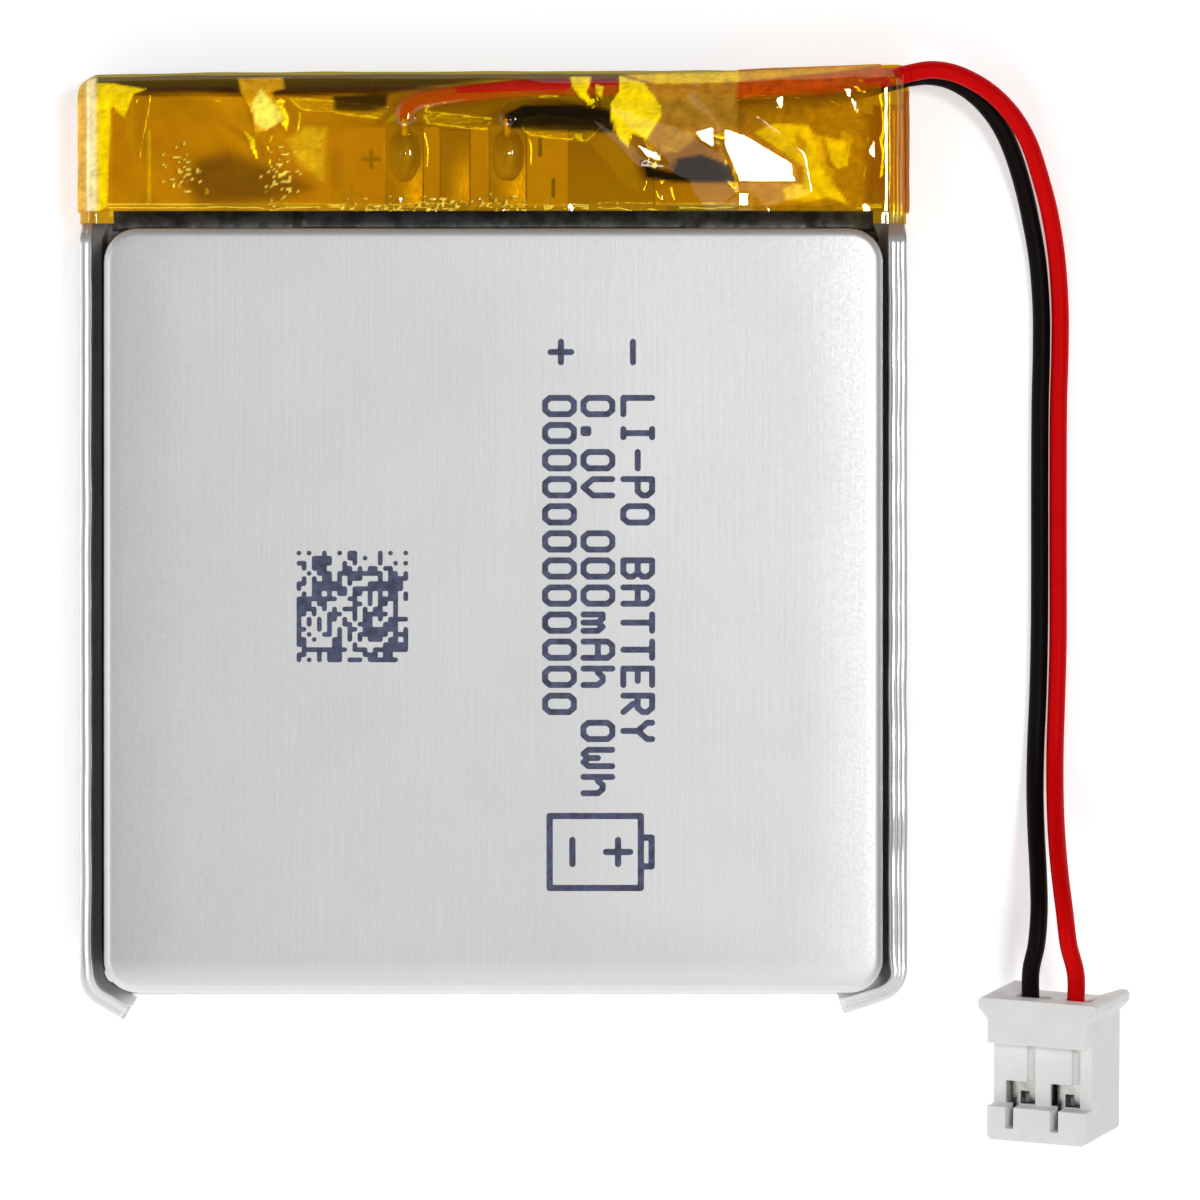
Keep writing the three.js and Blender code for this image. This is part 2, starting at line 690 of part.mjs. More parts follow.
function addHousing() {
  const { halfWidth: w, halfDepth: d, height, earX, earZ, chamferZ } = HOUSING;
  const [footCut, earCut] = [0.15, 0.12]; // small chamfers on the outline's corners
  const rightHalf = [
    [w - footCut, 0],
    [w, footCut],
    [w, chamferZ],
    [earX, earZ],
    [earX, height - earCut],
    [earX - earCut, height],
  ];
  const front = polygon([...rightHalf, ...mirrored(rightHalf).reverse()]);
  const saddle = polygon([
    [-SADDLE.top, height + 0.01],
    [-SADDLE.floor, height - SADDLE.depth],
    [SADDLE.floor, height - SADDLE.depth],
    [SADDLE.top, height + 0.01],
  ]);
  const panel = -d + RECESS.depth;
  let made = solid(alongY(front, -d, d));
  const cuts = [
    box([-FAR, FAR], [-FAR, panel], [RECESS.z0, RECESS.z1]), // recessed front panel
    alongY(saddle, -d + SADDLE.wall, d + 0.5), // lowered middle round the leads
  ];
  for (const pole of [-1, 1]) {
    const x = (pole * PITCH) / 2;
    const { halfWidth, front: y0, back: y1 } = CAVITY;
    const grooveX = [x + GROOVE.fromPole, x + halfWidth];
    const slotX = LIP_SLOT.fromPole.map((offset) => x + offset);
    cuts.push(
      box([x - halfWidth, x + halfWidth], [y0, y1], [1, height + 1]), // terminal cavity
      box([x - 0.45, x + 0.45], [y0 + 0.25, y1 - 0.45], [-1, 1.5]), // pin entry
      box([x - halfWidth, x + halfWidth], [-d + FRONT_WALL, y0 + 0.1], WINDOW_Z),
      box(slotX, [-d - 1, y0 + 0.3], LIP_SLOT.z), // slot in the front lip
      box(grooveX, [-d + FRONT_WALL, panel + GROOVE.depth], GROOVE.z), // above the window
    );
  }
  for (const cut of cuts) made = made.subtract(solid(cut));
  add("connector_housing", surface(made), MATERIALS.nylon, connector);
}

// A crimp terminal: a box that grips the pin, a wire barrel and an insulation barrel.
function addTerminal(pole, wireName, sign) {
  const x = (sign * PITCH) / 2;
  const y = LEAD_SEAT.back;
  const { halfWidth, wall, entry } = TERMINAL;
  const inner = halfWidth - wall;
  const [y0, y1] = [CAVITY.front + 0.1, CAVITY.back - 0.12];
  const receptacle = solidBox([x - halfWidth, x + halfWidth], [y0, y1], [TERMINAL.z0, TERMINAL.z1])
    .subtract(solidBox([x - inner, x + inner], [y0 + wall, y1 - wall], [1, 3]))
    .subtract(solidBox([x - entry, x + entry], [y0 - 1, y0 + entry], [1, 1.9]));
  const barrel = ({ diameter: outer, z0, z1 }, bore) => {
    const tube = (diameter, from, to) =>
      solid(
        new THREE.CylinderGeometry(diameter / 2, diameter / 2, to - from, 12)
          .rotateX(Math.PI / 2)
          .translate(x, y, (from + to) / 2),
      );
    return tube(outer, z0, z1).subtract(tube(bore, z0 - 1, z1 + 1));
  };
  const made = receptacle
    .add(solidBox([x - 0.2, x + 0.2], [y1 - 0.34, y1 - 0.2], [1.35, 2.82])) // spring tongue
    .add(solidBox([x - 0.33, x + 0.33], [y + 0.43, y1 - 0.05], [2.74, 2.86])) // step down
    .add(solidBox([x - 0.31, x + 0.31], [y + 0.41, y + 0.51], [2.78, 4.6])) // strip
    .add(solidBox([x - 0.12, x + 0.12], [y + 0.28, y + 0.46], [3.1, 3.7])) // strip to wire barrel
    .add(barrel(WIRE_BARREL, CONDUCTOR + 2 * SNUG))
    .add(barrel(INSULATION_BARREL, WIRE + 2 * SNUG));
  add(`${pole}_crimp_terminal`, surface(made), MATERIALS.nickel, connector);
  const core = new THREE.CylinderGeometry(CONDUCTOR / 2, CONDUCTOR / 2, 1, WIRE_SIDES)
    .rotateX(Math.PI / 2)
    .translate(x, y, LEAD_SEAT.depth - 0.52);
  add(`${wireName}_conductor_crimped`, core, MATERIALS.copper, connector);
}

// ---- The whole pack ----------------------------------------------------------------------------
addPouch();
addSeam("left_side_seam", -1, 0.5, LEFT_EAR);
addSeam("right_side_seam", 1, 0.62, RIGHT_EAR);
addRoll();
addRollTape();
addTab("positive_tab", "positive_tab_film", -1, MATERIALS.aluminium);
addTab("negative_tab", "negative_tab_film", 1, MATERIALS.nickel);
addBoard();
addPaper();
addNickelStrip("positive_nickel_strip", -1);
addNickelStrip("negative_nickel_strip", 1);
addOutput("positive", "red", [-4.45, -2.95], -3.7);
addOutput("negative", "black", [-0.15, 1.35], 0.6);
const padLow = BOARD.z1 + GAP;
add(
  "test_pad",
  box([-2.2, -1.0], [BOARD.y0 + 0.3, BOARD.y1 - 0.3], [padLow, padLow + PAD_THICKNESS]),
  MATERIALS.copper,
);
add("red_wire_held", cable(RED_HELD, WIRE, 44), MATERIALS.red);
add("black_wire_held", cable(BLACK_HELD, WIRE, 40), MATERIALS.black);
addTape("outer_tape_wrap", 0, 13.71);
addTape("inner_tape_wrap", TAPE + GAP, 13.22);

addHousing();
addTerminal("positive", "red", 1);
addTerminal("negative", "black", -1);
add("red_wire", cable([...RED_FREE, ...leadEnd(PITCH / 2)], WIRE, 72), MATERIALS.red, harness);
add("black_wire", cable([...BLACK_FREE, ...leadEnd(-PITCH / 2)], WIRE, 72), MATERIALS.black, harness);

const cell = new THREE.Group();
cell.add(pack, harness);

export default cell;
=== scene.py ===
"""Looks of a small lithium-polymer pouch cell with a taped board, two leads and a two-pole plug.

Blender's objects are in metres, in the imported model's frame: +X across the width, +Y towards the taped
head, +Z from the flat back to the printed face. Lengths in this file are in millimetres.
"""
import itertools
import json
import math
import random
from contextlib import contextmanager

import bmesh
import bpy
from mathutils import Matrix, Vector, noise


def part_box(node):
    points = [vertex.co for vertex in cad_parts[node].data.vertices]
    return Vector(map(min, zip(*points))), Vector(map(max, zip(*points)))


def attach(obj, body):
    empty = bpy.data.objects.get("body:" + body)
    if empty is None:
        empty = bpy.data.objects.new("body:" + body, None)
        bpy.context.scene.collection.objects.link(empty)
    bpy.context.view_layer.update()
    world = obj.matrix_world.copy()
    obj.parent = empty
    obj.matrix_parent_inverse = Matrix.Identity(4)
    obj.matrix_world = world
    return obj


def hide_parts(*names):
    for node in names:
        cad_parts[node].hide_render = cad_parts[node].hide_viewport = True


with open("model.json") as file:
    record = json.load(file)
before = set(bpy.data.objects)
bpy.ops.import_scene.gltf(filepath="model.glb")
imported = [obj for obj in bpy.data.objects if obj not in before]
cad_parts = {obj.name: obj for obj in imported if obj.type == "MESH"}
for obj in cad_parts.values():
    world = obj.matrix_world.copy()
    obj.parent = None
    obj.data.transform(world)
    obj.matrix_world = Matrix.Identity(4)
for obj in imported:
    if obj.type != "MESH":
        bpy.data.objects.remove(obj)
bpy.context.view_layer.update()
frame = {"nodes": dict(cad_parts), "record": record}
NODES = frame["nodes"]
MM = 0.001


# ---- Places, from the frame ----
def box_mm(node):
    """A CAD node's lowest and highest corner."""
    low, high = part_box(node)
    return Vector(low) / MM, Vector(high) / MM


CUP_LOW, CUP_HIGH = box_mm("pouch_cup_film")
COVER_LOW, COVER_HIGH = box_mm("pouch_cover_film")
OUTER_LOW, OUTER_HIGH = box_mm("outer_tape_wrap")
INNER_LOW, INNER_HIGH = box_mm("inner_tape_wrap")
BOARD_LOW, BOARD_HIGH = box_mm("protection_board")
STRIP_TOP = box_mm("positive_nickel_strip")[1].z
FACE_Z, CUP_HALF_WIDTH, CUP_FOOT_Y = CUP_HIGH.z, CUP_HIGH.x, CUP_LOW.y
CUP_HEAD_Y = 13.2  # foot of the cup's wall at the head end
CUP_MIDDLE_Y, CUP_HALF_LENGTH = (CUP_HEAD_Y + CUP_FOOT_Y) / 2, (CUP_HEAD_Y - CUP_FOOT_Y) / 2
CUP_CORNER, TERRACE_HALF_WIDTH = 1.6, 16.0
FILM = 0.12  # thickness of the aluminium laminate
WIRE_RADIUS = 0.37

# ---- The leads' routes, as the CAD model has them ----
RED_HELD = [
    (-3.7, 17.6, 3.76), (-3.68, 17.95, 3.76), (-3.2, 18.32, 3.76), (-2.2, 18.5, 3.75), (-0.5, 18.7, 3.72),
    (1.4, 18.86, 3.7), (4.9, 18.9, 3.68), (8, 18.85, 3.62), (11, 18.85, 3.55), (14, 19.0, 3.45),
    (16.2, 19.28, 3.37), (17.05, 19.42, 3.33),
]
BLACK_HELD = [
    (0.6, 17.6, 3.76), (0.68, 17.82, 3.68), (1.25, 18.02, 3.42), (2.5, 18.05, 3.2), (5, 18.05, 3.05),
    (8, 18.0, 2.95), (11, 18.05, 2.85), (14, 18.5, 2.7), (16.2, 19.05, 2.55), (17.05, 19.26, 2.48),
]
RED_FREE = [
    (17.35, 19.5, 3.3), (18.23, 19.65, 3.2), (19.13, 19.55, 3.04), (20.02, 19.2, 2.8), (20.89, 18.64, 2.5),
    (21.73, 17.78, 2.14), (22.4, 16.67, 1.76), (22.95, 15.08, 1.32), (23.32, 13.7, 0.98),
    (23.62, 11.88, 0.64), (23.77, 9.8, 0.44), (23.77, 7.92, 0.4), (23.71, 5.83, 0.4), (23.69, 2.5, 0.4),
    (23.69, -0.83, 0.4), (23.69, -4.17, 0.4), (23.63, -6.6, 0.42), (23.56, -8.6, 0.6), (23.53, -10.6, 1.25),
    (23.56, -12.4, 2.3), (23.66, -14, 3.35), (23.82, -15.5, 4.1), (23.98, -16.9, 4.42),
]
BLACK_FREE = [
    (17.35, 19.34, 2.44), (18.17, 19.42, 2.32), (19.02, 19.27, 2.16), (19.82, 18.87, 1.95),
    (20.55, 18.26, 1.7), (21.21, 17.4, 1.42), (21.74, 16.3, 1.12), (22.22, 14.8, 0.8), (22.53, 13.45, 0.6),
    (22.82, 11.8, 0.45), (22.98, 9.8, 0.4), (22.99, 7.9, 0.4), (22.94, 5.8, 0.4), (22.92, 2.5, 0.4),
    (22.92, -0.8, 0.4), (22.9, -4.2, 0.4), (22.84, -6.6, 0.41), (22.75, -8.6, 0.52), (22.7, -10.5, 1),
    (22.72, -12.3, 1.85), (22.77, -13.9, 2.75), (22.78, -15.5, 3.42), (22.66, -16.9, 3.66),
]
# Where the connector sits, and the height inside it where a lead ends.
CONNECTOR_AT = Vector((23.4, -24.83, 2.65))
CONNECTOR_TILT, CONNECTOR_YAW = math.radians(9.5), math.radians(23)
PITCH, HOUSING_HEIGHT, LEAD_BACK, LEAD_DEPTH = 2.0, 6.0, -0.1, 3.95


def in_pack(across, back, up):
    """A point of the connector's frame in the pack's frame."""
    sin_t, cos_t = math.sin(CONNECTOR_TILT), math.cos(CONNECTOR_TILT)
    sin_y, cos_y = math.sin(CONNECTOR_YAW), math.cos(CONNECTOR_YAW)
    x, y, z = across * cos_y + back * sin_y, up, across * sin_y - back * cos_y
    return CONNECTOR_AT + Vector((x, y * cos_t - z * sin_t, y * sin_t + z * cos_t))


def lead_end(pole):
    """The last points of a lead, straight into its cavity."""
    heights = (HOUSING_HEIGHT + 0.9, HOUSING_HEIGHT - 0.6, LEAD_DEPTH)
    return [tuple(in_pack(pole * PITCH / 2, LEAD_BACK, h)) for h in heights]


# ---- Geometry helpers ----
MERGE, CAD_MERGE = 1e-8, 1e-7  # metres within which two points are one
FLAT_ANGLE = math.radians(1)  # CAD faces that meet at less than this are one flat face
TUBE_SIDES, LEAD_SIDES, ROUTE_STEPS = 20, 24, 8


def smoothstep(low, high, value):
    """0 below low, 1 above high, and a smooth rise between."""
    t = min(max((value - low) / (high - low), 0.0), 1.0)
    return t * t * (3 - 2 * t)


def steps(low, high, count):
    """Evenly spaced values from low to high, both included."""
    return [low + (high - low) * k / count for k in range(count + 1)]


def wave(x, y, z):
    """Smooth noise between about -1 and 1."""
    return noise.noise(Vector((x, y, z)))


def on_line(first, second, t1, t2, t):
    """The point at t of the line that passes through first at t1 and through second at t2."""
    return first * ((t2 - t) / (t2 - t1)) + second * ((t - t1) / (t2 - t1))


def catmull_rom(points):
    """Points along a centripetal Catmull-Rom curve through the given points."""
    pts = [Vector(p) for p in points]
    pts = [2 * pts[0] - pts[1], *pts, 2 * pts[-1] - pts[-2]]
    out = []
    for p0, p1, p2, p3 in zip(pts, pts[1:], pts[2:], pts[3:]):
        t1 = (p1 - p0).length ** 0.5
        t2 = t1 + (p2 - p1).length ** 0.5
        t3 = t2 + (p3 - p2).length ** 0.5
        for t in steps(t1, t2, ROUTE_STEPS)[:-1]:
            a1, a2, a3 = on_line(p0, p1, 0, t1, t), on_line(p1, p2, t1, t2, t), on_line(p2, p3, t2, t3, t)
            out.append(on_line(on_line(a1, a2, 0, t2, t), on_line(a2, a3, t1, t3, t), t1, t2, t))
    return [*out, pts[-2]]


def from_line(x, y, x0, y0, x1, y1):
    """How far a point is from the line between two points, and the share of the line passed there."""
    dx, dy = x1 - x0, y1 - y0
    square = dx * dx + dy * dy
    t = min(max(((x - x0) * dx + (y - y0) * dy) / square, 0), 1) if square else 0
    return math.hypot(x - x0 - t * dx, y - y0 - t * dy), t


def linked(name, data):
    """A new object in the scene."""
    made = bpy.data.objects.new(name, data)
    bpy.context.scene.collection.objects.link(made)
    return made


def smooth_shading(mesh):
    mesh.polygons.foreach_set("use_smooth", [True] * len(mesh.polygons))


def new_object(name, vertices, faces):
    """A smooth mesh object from vertices in millimetres."""
    mesh = bpy.data.meshes.new(name)
    mesh.from_pydata([tuple(Vector(v) * MM) for v in vertices], [], faces)
    smooth_shading(mesh)
    mesh.update()
    return linked(name, mesh)


@contextmanager
def editing(mesh):
    """Opens a mesh to bmesh operations and puts the result back."""
    bm = bmesh.new()
    bm.from_mesh(mesh)
    yield bm
    bm.to_mesh(mesh)
    bm.free()


def skin(rings):
    """A closed skin over rings of the same number of points, as vertices and faces."""
    count = len(rings[0])
    last = (len(rings) - 1) * count
    faces = [tuple(reversed(range(count))), tuple(range(last, last + count))]
    for a in range(0, last, count):
        for i, j in zip(range(count), [*range(1, count), 0]):
            faces.append((a + i, a + j, a + count + j, a + count + i))
    return [p for ring in rings for p in ring], faces


def tube(name, points, sides):
    """A lead's closed round tube along points."""
    line = [Vector(p) for p in points]
    normal, rings = (line[1] - line[0]).normalized().orthogonal(), []
    for before, p, after in zip([line[0], *line], line, [*line[1:], line[-1]]):
        along = (after - before).normalized()
        normal = (normal - along * normal.dot(along)).normalized()
        other = along.cross(normal)
        turn = steps(0, 2 * math.pi, sides)[:-1]
        rings.append([p + WIRE_RADIUS * (math.cos(a) * normal + math.sin(a) * other) for a in turn])
    return new_object(name, *skin(rings))


def merge(piece):
    """Merges points that lie on each other and turns the faces outwards."""
    with editing(piece.data) as bm:
        bmesh.ops.remove_doubles(bm, verts=bm.verts, dist=MERGE)
        bmesh.ops.recalc_face_normals(bm, faces=bm.faces)


def show(piece, slot, *nodes, look=None):
    """The piece rides on the pack in its slot's look or another one, and stands for the CAD nodes."""
    piece.data.materials.clear()
    piece.data.materials.append(MATERIALS[look or slot])
    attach(piece, "root")
    if nodes:
        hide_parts(*nodes)


def show_rounded(node, slot, width, segments=2, angle=28, look=None):
    """Shows a copy of a CAD node with its flat faces joined and its sharp edges rounded."""
    mesh = NODES[node].data.copy()
    with editing(mesh) as bm:
        bmesh.ops.remove_doubles(bm, verts=bm.verts, dist=CAD_MERGE)
        bmesh.ops.dissolve_limit(bm, angle_limit=FLAT_ANGLE, verts=bm.verts, edges=bm.edges)
    smooth_shading(mesh)
    made = linked(node + "_look", mesh)
    bevel = made.modifiers.new("round edges", "BEVEL")
    bevel.width, bevel.segments = width * MM, segments
    bevel.limit_method, bevel.angle_limit = "ANGLE", math.radians(angle)
    bevel.harden_normals = True
    show(made, slot, node, look=look)


# ---- Colours and nodes ----
def srgb(*levels):
    """A linear colour from 8-bit display levels."""
    shares = [level / 255 for level in levels]
    return (*[c / 12.92 if c <= 0.04045 else ((c + 0.055) / 1.055) ** 2.4 for c in shares], 1.0)


def grey(level):
    return srgb(level, level, level)


def shade(colour, *shares):
    """A colour times a share, or times one for each channel."""
    return (*[c * share for c, share in zip(colour[:3], shares * 3)], 1.0)


class Look:
    """A new material or world, with short calls that add nodes to it and return their outputs."""

    def __init__(self, name, kind=bpy.data.materials):
        self.made = kind.new(name)
        self.made.use_nodes = True
        self.made.node_tree.nodes.clear()

    def outputs(self, kind, inputs, **settings):
        """A node's outputs, its settings given and its inputs set or linked."""
        tree = self.made.node_tree
        made = tree.nodes.new("ShaderNode" + kind)
        for key, value in settings.items():
            setattr(made, key, value)
        for key, value in inputs.items():
            if isinstance(value, bpy.types.NodeSocket):
                tree.links.new(value, made.inputs[key])
            else:
                made.inputs[key].default_value = value
        return made.outputs

    def node(self, kind, inputs, output=0, **settings):
        return self.outputs(kind, inputs, **settings)[output]

    def place(self, *scale):
        """Object coordinates in millimetres, times scale."""
        factors = tuple(s / MM for s in scale or (1, 1, 1))
        return self.node("Mapping", {"Vector": self.node("TexCoord", {}, "Object"), "Scale": factors})

    def noise(self, vector, scale, detail=3.0, roughness=0.5):
        inputs = {"Vector": vector, "Scale": scale, "Detail": detail, "Roughness": roughness}
        return self.node("TexNoise", inputs, "Fac")

    def calc(self, operation, *values):
        return self.node("Math", dict(enumerate(values)), operation=operation)

    def measure(self, operation, first, second):
        """A number from two vectors."""
        return self.node("VectorMath", {0: first, 1: second}, "Value", operation=operation)

    def ramp(self, value, low, high, out_low=0.0, out_high=1.0):
        """value from low..high, taken to out_low..out_high and clamped."""
        inputs = {"Value": value, "From Min": low, "From Max": high, "To Min": out_low, "To Max": out_high}
        return self.node("MapRange", inputs, "Result")

    def blend(self, factor, first, second):
        """From the first colour to the second as the factor goes from 0 to 1."""
        return self.node("Mix", {0: factor, 6: first, 7: second}, 2, data_type="RGBA")

    def mottle(self, pattern, first, second, low=0.3, high=0.7):
        """Two colours that take turns as a noise pattern does."""
        return self.blend(self.ramp(pattern, low, high), first, second)

    def bump(self, height, strength, distance):
        return self.node("Bump", {"Height": height, "Strength": strength, "Distance": distance * MM})

    def finish(self, shader, output="OutputMaterial"):
        """Ends the tree with a shader, and returns the material or world."""
        self.outputs(output, {"Surface": shader})
        return self.made

    def principled(self, **inputs):
        named = {key.replace("_", " "): value for key, value in inputs.items()}
        return self.finish(self.node("BsdfPrincipled", named))


# ---- Materials ----
PAINTED_FOOT_HIGHLIGHT = (-17.5, -18.5)  # along this stretch the laminate turns matt and is painted pale towards the foot, a painted highlight
# The housing's cavities, painted dark as shade: an axis of the connector's frame, and where they start and
# end along it.
CAVITIES = (((1, 0, 0), -1.72, 1.72), ((0, 1, 0), -1.16, 1.5), ((0, 0, 1), 0.7, 2.4))
WELDS = ((-12.3, 15.6, 0.75), (-9.85, 15.1, 0.85))  # x, y and radius
AMBER_TINT = (0.985, 0.9, 0.09, 1.0)
GLUE = srgb(255, 188, 24)
GLUE_PAINTED_GLOW = 0.3  # painted glow: emission that makes the opaque glue patches shine like highlights
FILM_MIRROR = 0.055  # the share of light the film sends back
FOLD_SHADE_FROM, FOLD_SHADE_END_X = 18.55, 9.8  # where the film's folded turns, and painted shade, darken the head's end


def laminate(name, colour, roughness, metallic, lines, grain_share, dull, below, foot_y, head_y):
    """Satin aluminium laminate under a clear nylon skin, with faint rolling lines along Y. Where the
    sheet turns over the tool's edge, under the height below, from foot_y to head_y, it carries painted
    shade: the dull colour, mottled, stands in for the shadow on the walls and in the gaps. Towards the
    foot it is painted pale, a painted highlight, and turns matt. Under the tape it carries a tan layer of
    glue."""
    look = Look(name)
    where = look.place()
    at = look.outputs("SeparateXYZ", {0: where})
    streaks = look.noise(look.place(9, 0.25, 9), 1.0, 4)
    grain = look.noise(where, 7.0)
    base = look.mottle(look.noise(where, 0.22, 2), colour, shade(colour, 0.965))
    # painted shade: a darker, mottled colour low on the walls and the seams' roots stands in for their
    # shadow
    painted_shade = look.mottle(look.noise(where, 1.6, 5), shade(dull, 0.45), dull, 0.4, 0.6)
    down = look.ramp(at["Z"], below, below - 0.16)
    past_foot = look.ramp(at["Y"], foot_y - 0.6, foot_y + 0.6)
    before_head = look.ramp(at["Y"], head_y + 0.15, head_y)
    base = look.blend(look.calc("MULTIPLY", down, look.calc("MULTIPLY", past_foot, before_head)), base, painted_shade)
    # painted highlight: a pale colour towards the foot, where the laminate also turns matt
    foot_highlight_and_matt = look.ramp(at["Y"], *PAINTED_FOOT_HIGHLIGHT)
    base = look.blend(foot_highlight_and_matt, base, grey(246))
    glued = look.ramp(at["Y"], OUTER_LOW.y + 0.3, OUTER_LOW.y + 0.4)
    return look.principled(
        Base_Color=look.blend(glued, base, srgb(236, 190, 124)),
        Metallic=look.ramp(look.calc("MAXIMUM", glued, foot_highlight_and_matt), 0.0, 1.0, metallic, 0.1),
        Roughness=look.ramp(grain, 0.3, 0.7, roughness - 0.03, roughness + 0.04),
        Normal=look.bump(look.calc("MULTIPLY_ADD", grain, grain_share, streaks), lines, 0.012),
    )


def painted_cavity_shade(look, where):
    """1 in the depth of the housing's cavities, where the nylon carries painted shade, 0 at its outer faces.
    """
    origin = in_pack(0, 0, 0)
    spot = look.node("VectorMath", {0: where, 1: tuple(origin)}, operation="SUBTRACT")
    share = 1.0
    for axis, low, high in CAVITIES:
        along = look.measure("DOT_PRODUCT", spot, tuple(in_pack(*axis) - origin))
        for start, end in ((low, low + 0.12), (high, high - 0.12)):
            share = look.calc("MULTIPLY", share, look.ramp(along, start, end))
    return share


def nylon():
    """Moulded natural nylon, with painted shade: dark inside the cavities, which light hardly reaches."""
    look = Look("natural nylon")
    where = look.place()
    outside = look.mottle(look.noise(where, 0.9), srgb(240, 239, 238), srgb(234, 233, 231))
    grain = look.noise(where, 12.0, 2)
    return look.principled(
        # painted shade: near black in the depth of the cavities
        Base_Color=look.blend(painted_cavity_shade(look, where), outside, srgb(30, 28, 28)),
        Roughness=look.ramp(grain, 0.3, 0.7, 0.42, 0.52),
        Subsurface_Weight=0.25,
        Subsurface_Radius=(1.0, 0.9, 0.8),
        Subsurface_Scale=0.25 * MM,
        Normal=look.bump(grain, 0.15, 0.01),
    )


def plastic(name, colour, roughness, darker=0.9, gloss=0.5):
    """A moulded or extruded plastic, with faint mottling and fine grain."""
    look = Look(name)
    where = look.place()
    grain = look.noise(where, 14.0, 2)
    return look.principled(
        Base_Color=look.mottle(look.noise(where, 0.9), colour, shade(colour, darker)),
        Roughness=look.ramp(grain, 0.3, 0.7, roughness - 0.04, roughness + 0.05),
        Normal=look.bump(grain, 0.12, 0.01),
        Specular_IOR_Level=gloss,
    )


def metal(name, colour, roughness, scale, strength=0.2, metallic=1.0):
    """Bare metal with drawn or rolled lines along the axis whose scale is smallest."""
    look = Look(name)
    lines = look.noise(look.place(*scale), 6.0, 4)
    return look.principled(
        Base_Color=look.mottle(look.noise(look.place(), 0.8), colour, shade(colour, 0.78), 0.35),
        Metallic=metallic,
        Roughness=look.ramp(lines, 0.3, 0.7, roughness - 0.06, roughness + 0.08),
        Normal=look.bump(lines, strength, 0.02),
    )


def nickel(name, roughness, waviness, metallic):
    """Rolled nickel strip with heat-tinted spot welds."""
    look = Look(name)
    where = look.place()
    lines = look.noise(look.place(1, 12, 12), 2.0)
    tinted = 0.0
    for x, y, reach in WELDS:
        away = look.measure("DISTANCE", where, (x, y, STRIP_TOP))
        tinted = look.calc("MAXIMUM", tinted, look.ramp(away, reach * 0.45, reach, 0.85, 0.0))
    relief = look.calc("MULTIPLY_ADD", look.noise(where, 0.75, 2), waviness, lines)
    return look.principled(
        Base_Color=look.blend(tinted, srgb(226, 184, 126), srgb(96, 84, 66)),
        Metallic=metallic,
        Roughness=look.ramp(lines, 0.3, 0.7, roughness - 0.03, roughness + 0.04),
        Normal=look.bump(relief, 0.25, 0.02),
    )


def fold_and_shade_share(look, at):
    """1 where the film's turns lie folded over the head's end and its tint carries painted shade, 0
    elsewhere.
    """
    streaky = look.noise(look.place(0.35, 4, 1), 1.0)
    past_lead = look.ramp(at["X"], -5.0, 0.0, 0.0, 0.62)
    height = look.calc("SUBTRACT", look.calc("MULTIPLY_ADD", streaky, 0.5, at["Y"]), past_lead)
    folded = look.ramp(height, FOLD_SHADE_FROM + 0.15, FOLD_SHADE_FROM + 0.4)
    short_of_leads = look.ramp(at["X"], FOLD_SHADE_END_X, FOLD_SHADE_END_X + 0.6, 1.0, 0.0)
    return look.calc("MULTIPLY", folded, short_of_leads)


def film(name, roughness, milkiness):
    """Clear yellow film: see-through, deeper in colour where it is seen edge on and where its turns lie
    folded, a deeper tint that is also painted shade at the head's end, with a glossy skin, an orange glue
    that is milkier away from the leads, and at its points the opaque colour that the sheet carries: glue,
    painted highlights and glints, painted shade, and a painted glow."""
    look = Look(name)
    where = look.place()
    at = look.outputs("SeparateXYZ", {0: where})
    smooth = look.bump(look.calc("ADD", look.noise(where, 1.1), look.noise(where, 6.0, 2)), 0.06, 0.03)
    facing = look.node("LayerWeight", {"Blend": 0.5, "Normal": smooth}, "Facing")
    body = look.blend(look.ramp(facing, 0.25, 0.75), AMBER_TINT, shade(AMBER_TINT, 0.78, 0.6, 0.4))
    # painted shade: a deeper tint at the head's end, partly for the folded turns and partly for the shadow
    # there
    fold_and_shade = fold_and_shade_share(look, at)
    tint = look.blend(fold_and_shade, body, shade(AMBER_TINT, 0.6, 0.57, 1.0))
    clear = look.node("BsdfTransparent", {"Color": tint})
    milk = look.node("BsdfDiffuse", {"Color": GLUE, "Normal": smooth})
    cloud = look.ramp(look.noise(where, 0.5, 4), 0.35, 0.7, 0.6, 1.0)
    off_leads = look.ramp(at["X"], -6.0, -4.0, milkiness, milkiness * 0.35)
    milky = look.calc("MULTIPLY", look.calc("MULTIPLY", cloud, off_leads), look.calc("SUBTRACT", 1.0, fold_and_shade))
    # the opaque colour carries glue, painted highlights and painted shade
    glue_and_painted_light = look.outputs("Attribute", {}, attribute_name="glue_and_painted_light")
    lit = look.node("BsdfDiffuse", {"Color": glue_and_painted_light["Color"], "Normal": smooth})
    # painted glow: the patches emit light, which stands in for highlights
    painted_glow = look.node("Emission", {"Color": glue_and_painted_light["Color"], "Strength": GLUE_PAINTED_GLOW})
    opaque = look.node("AddShader", {0: lit, 1: painted_glow})
    gloss = look.node("BsdfGlossy", {"Roughness": roughness, "Normal": smooth})
    sheet = clear
    for share, layer in ((milky, milk), (glue_and_painted_light["Alpha"], opaque), (FILM_MIRROR, gloss)):
        sheet = look.node("MixShader", {0: share, 1: sheet, 2: layer})
    return look.finish(sheet)


def ink():
    """Dark blue-grey marking ink, a little uneven."""
    look = Look("marking ink")
    colour = look.mottle(look.noise(look.place(), 3.2), srgb(50, 54, 82), srgb(88, 94, 128))
    return look.principled(Base_Color=colour, Roughness=0.55)


def paper():
    """Thin tan insulating paper with short fibres."""
    look = Look("insulating paper")
    fibres = look.noise(look.place(1, 3, 1), 5.0, 5, 0.65)
    colour = look.mottle(fibres, srgb(216, 172, 108), srgb(236, 196, 132), 0.35, 0.65)
    return look.principled(Base_Color=colour, Roughness=0.85, Normal=look.bump(fibres, 0.4, 0.02))


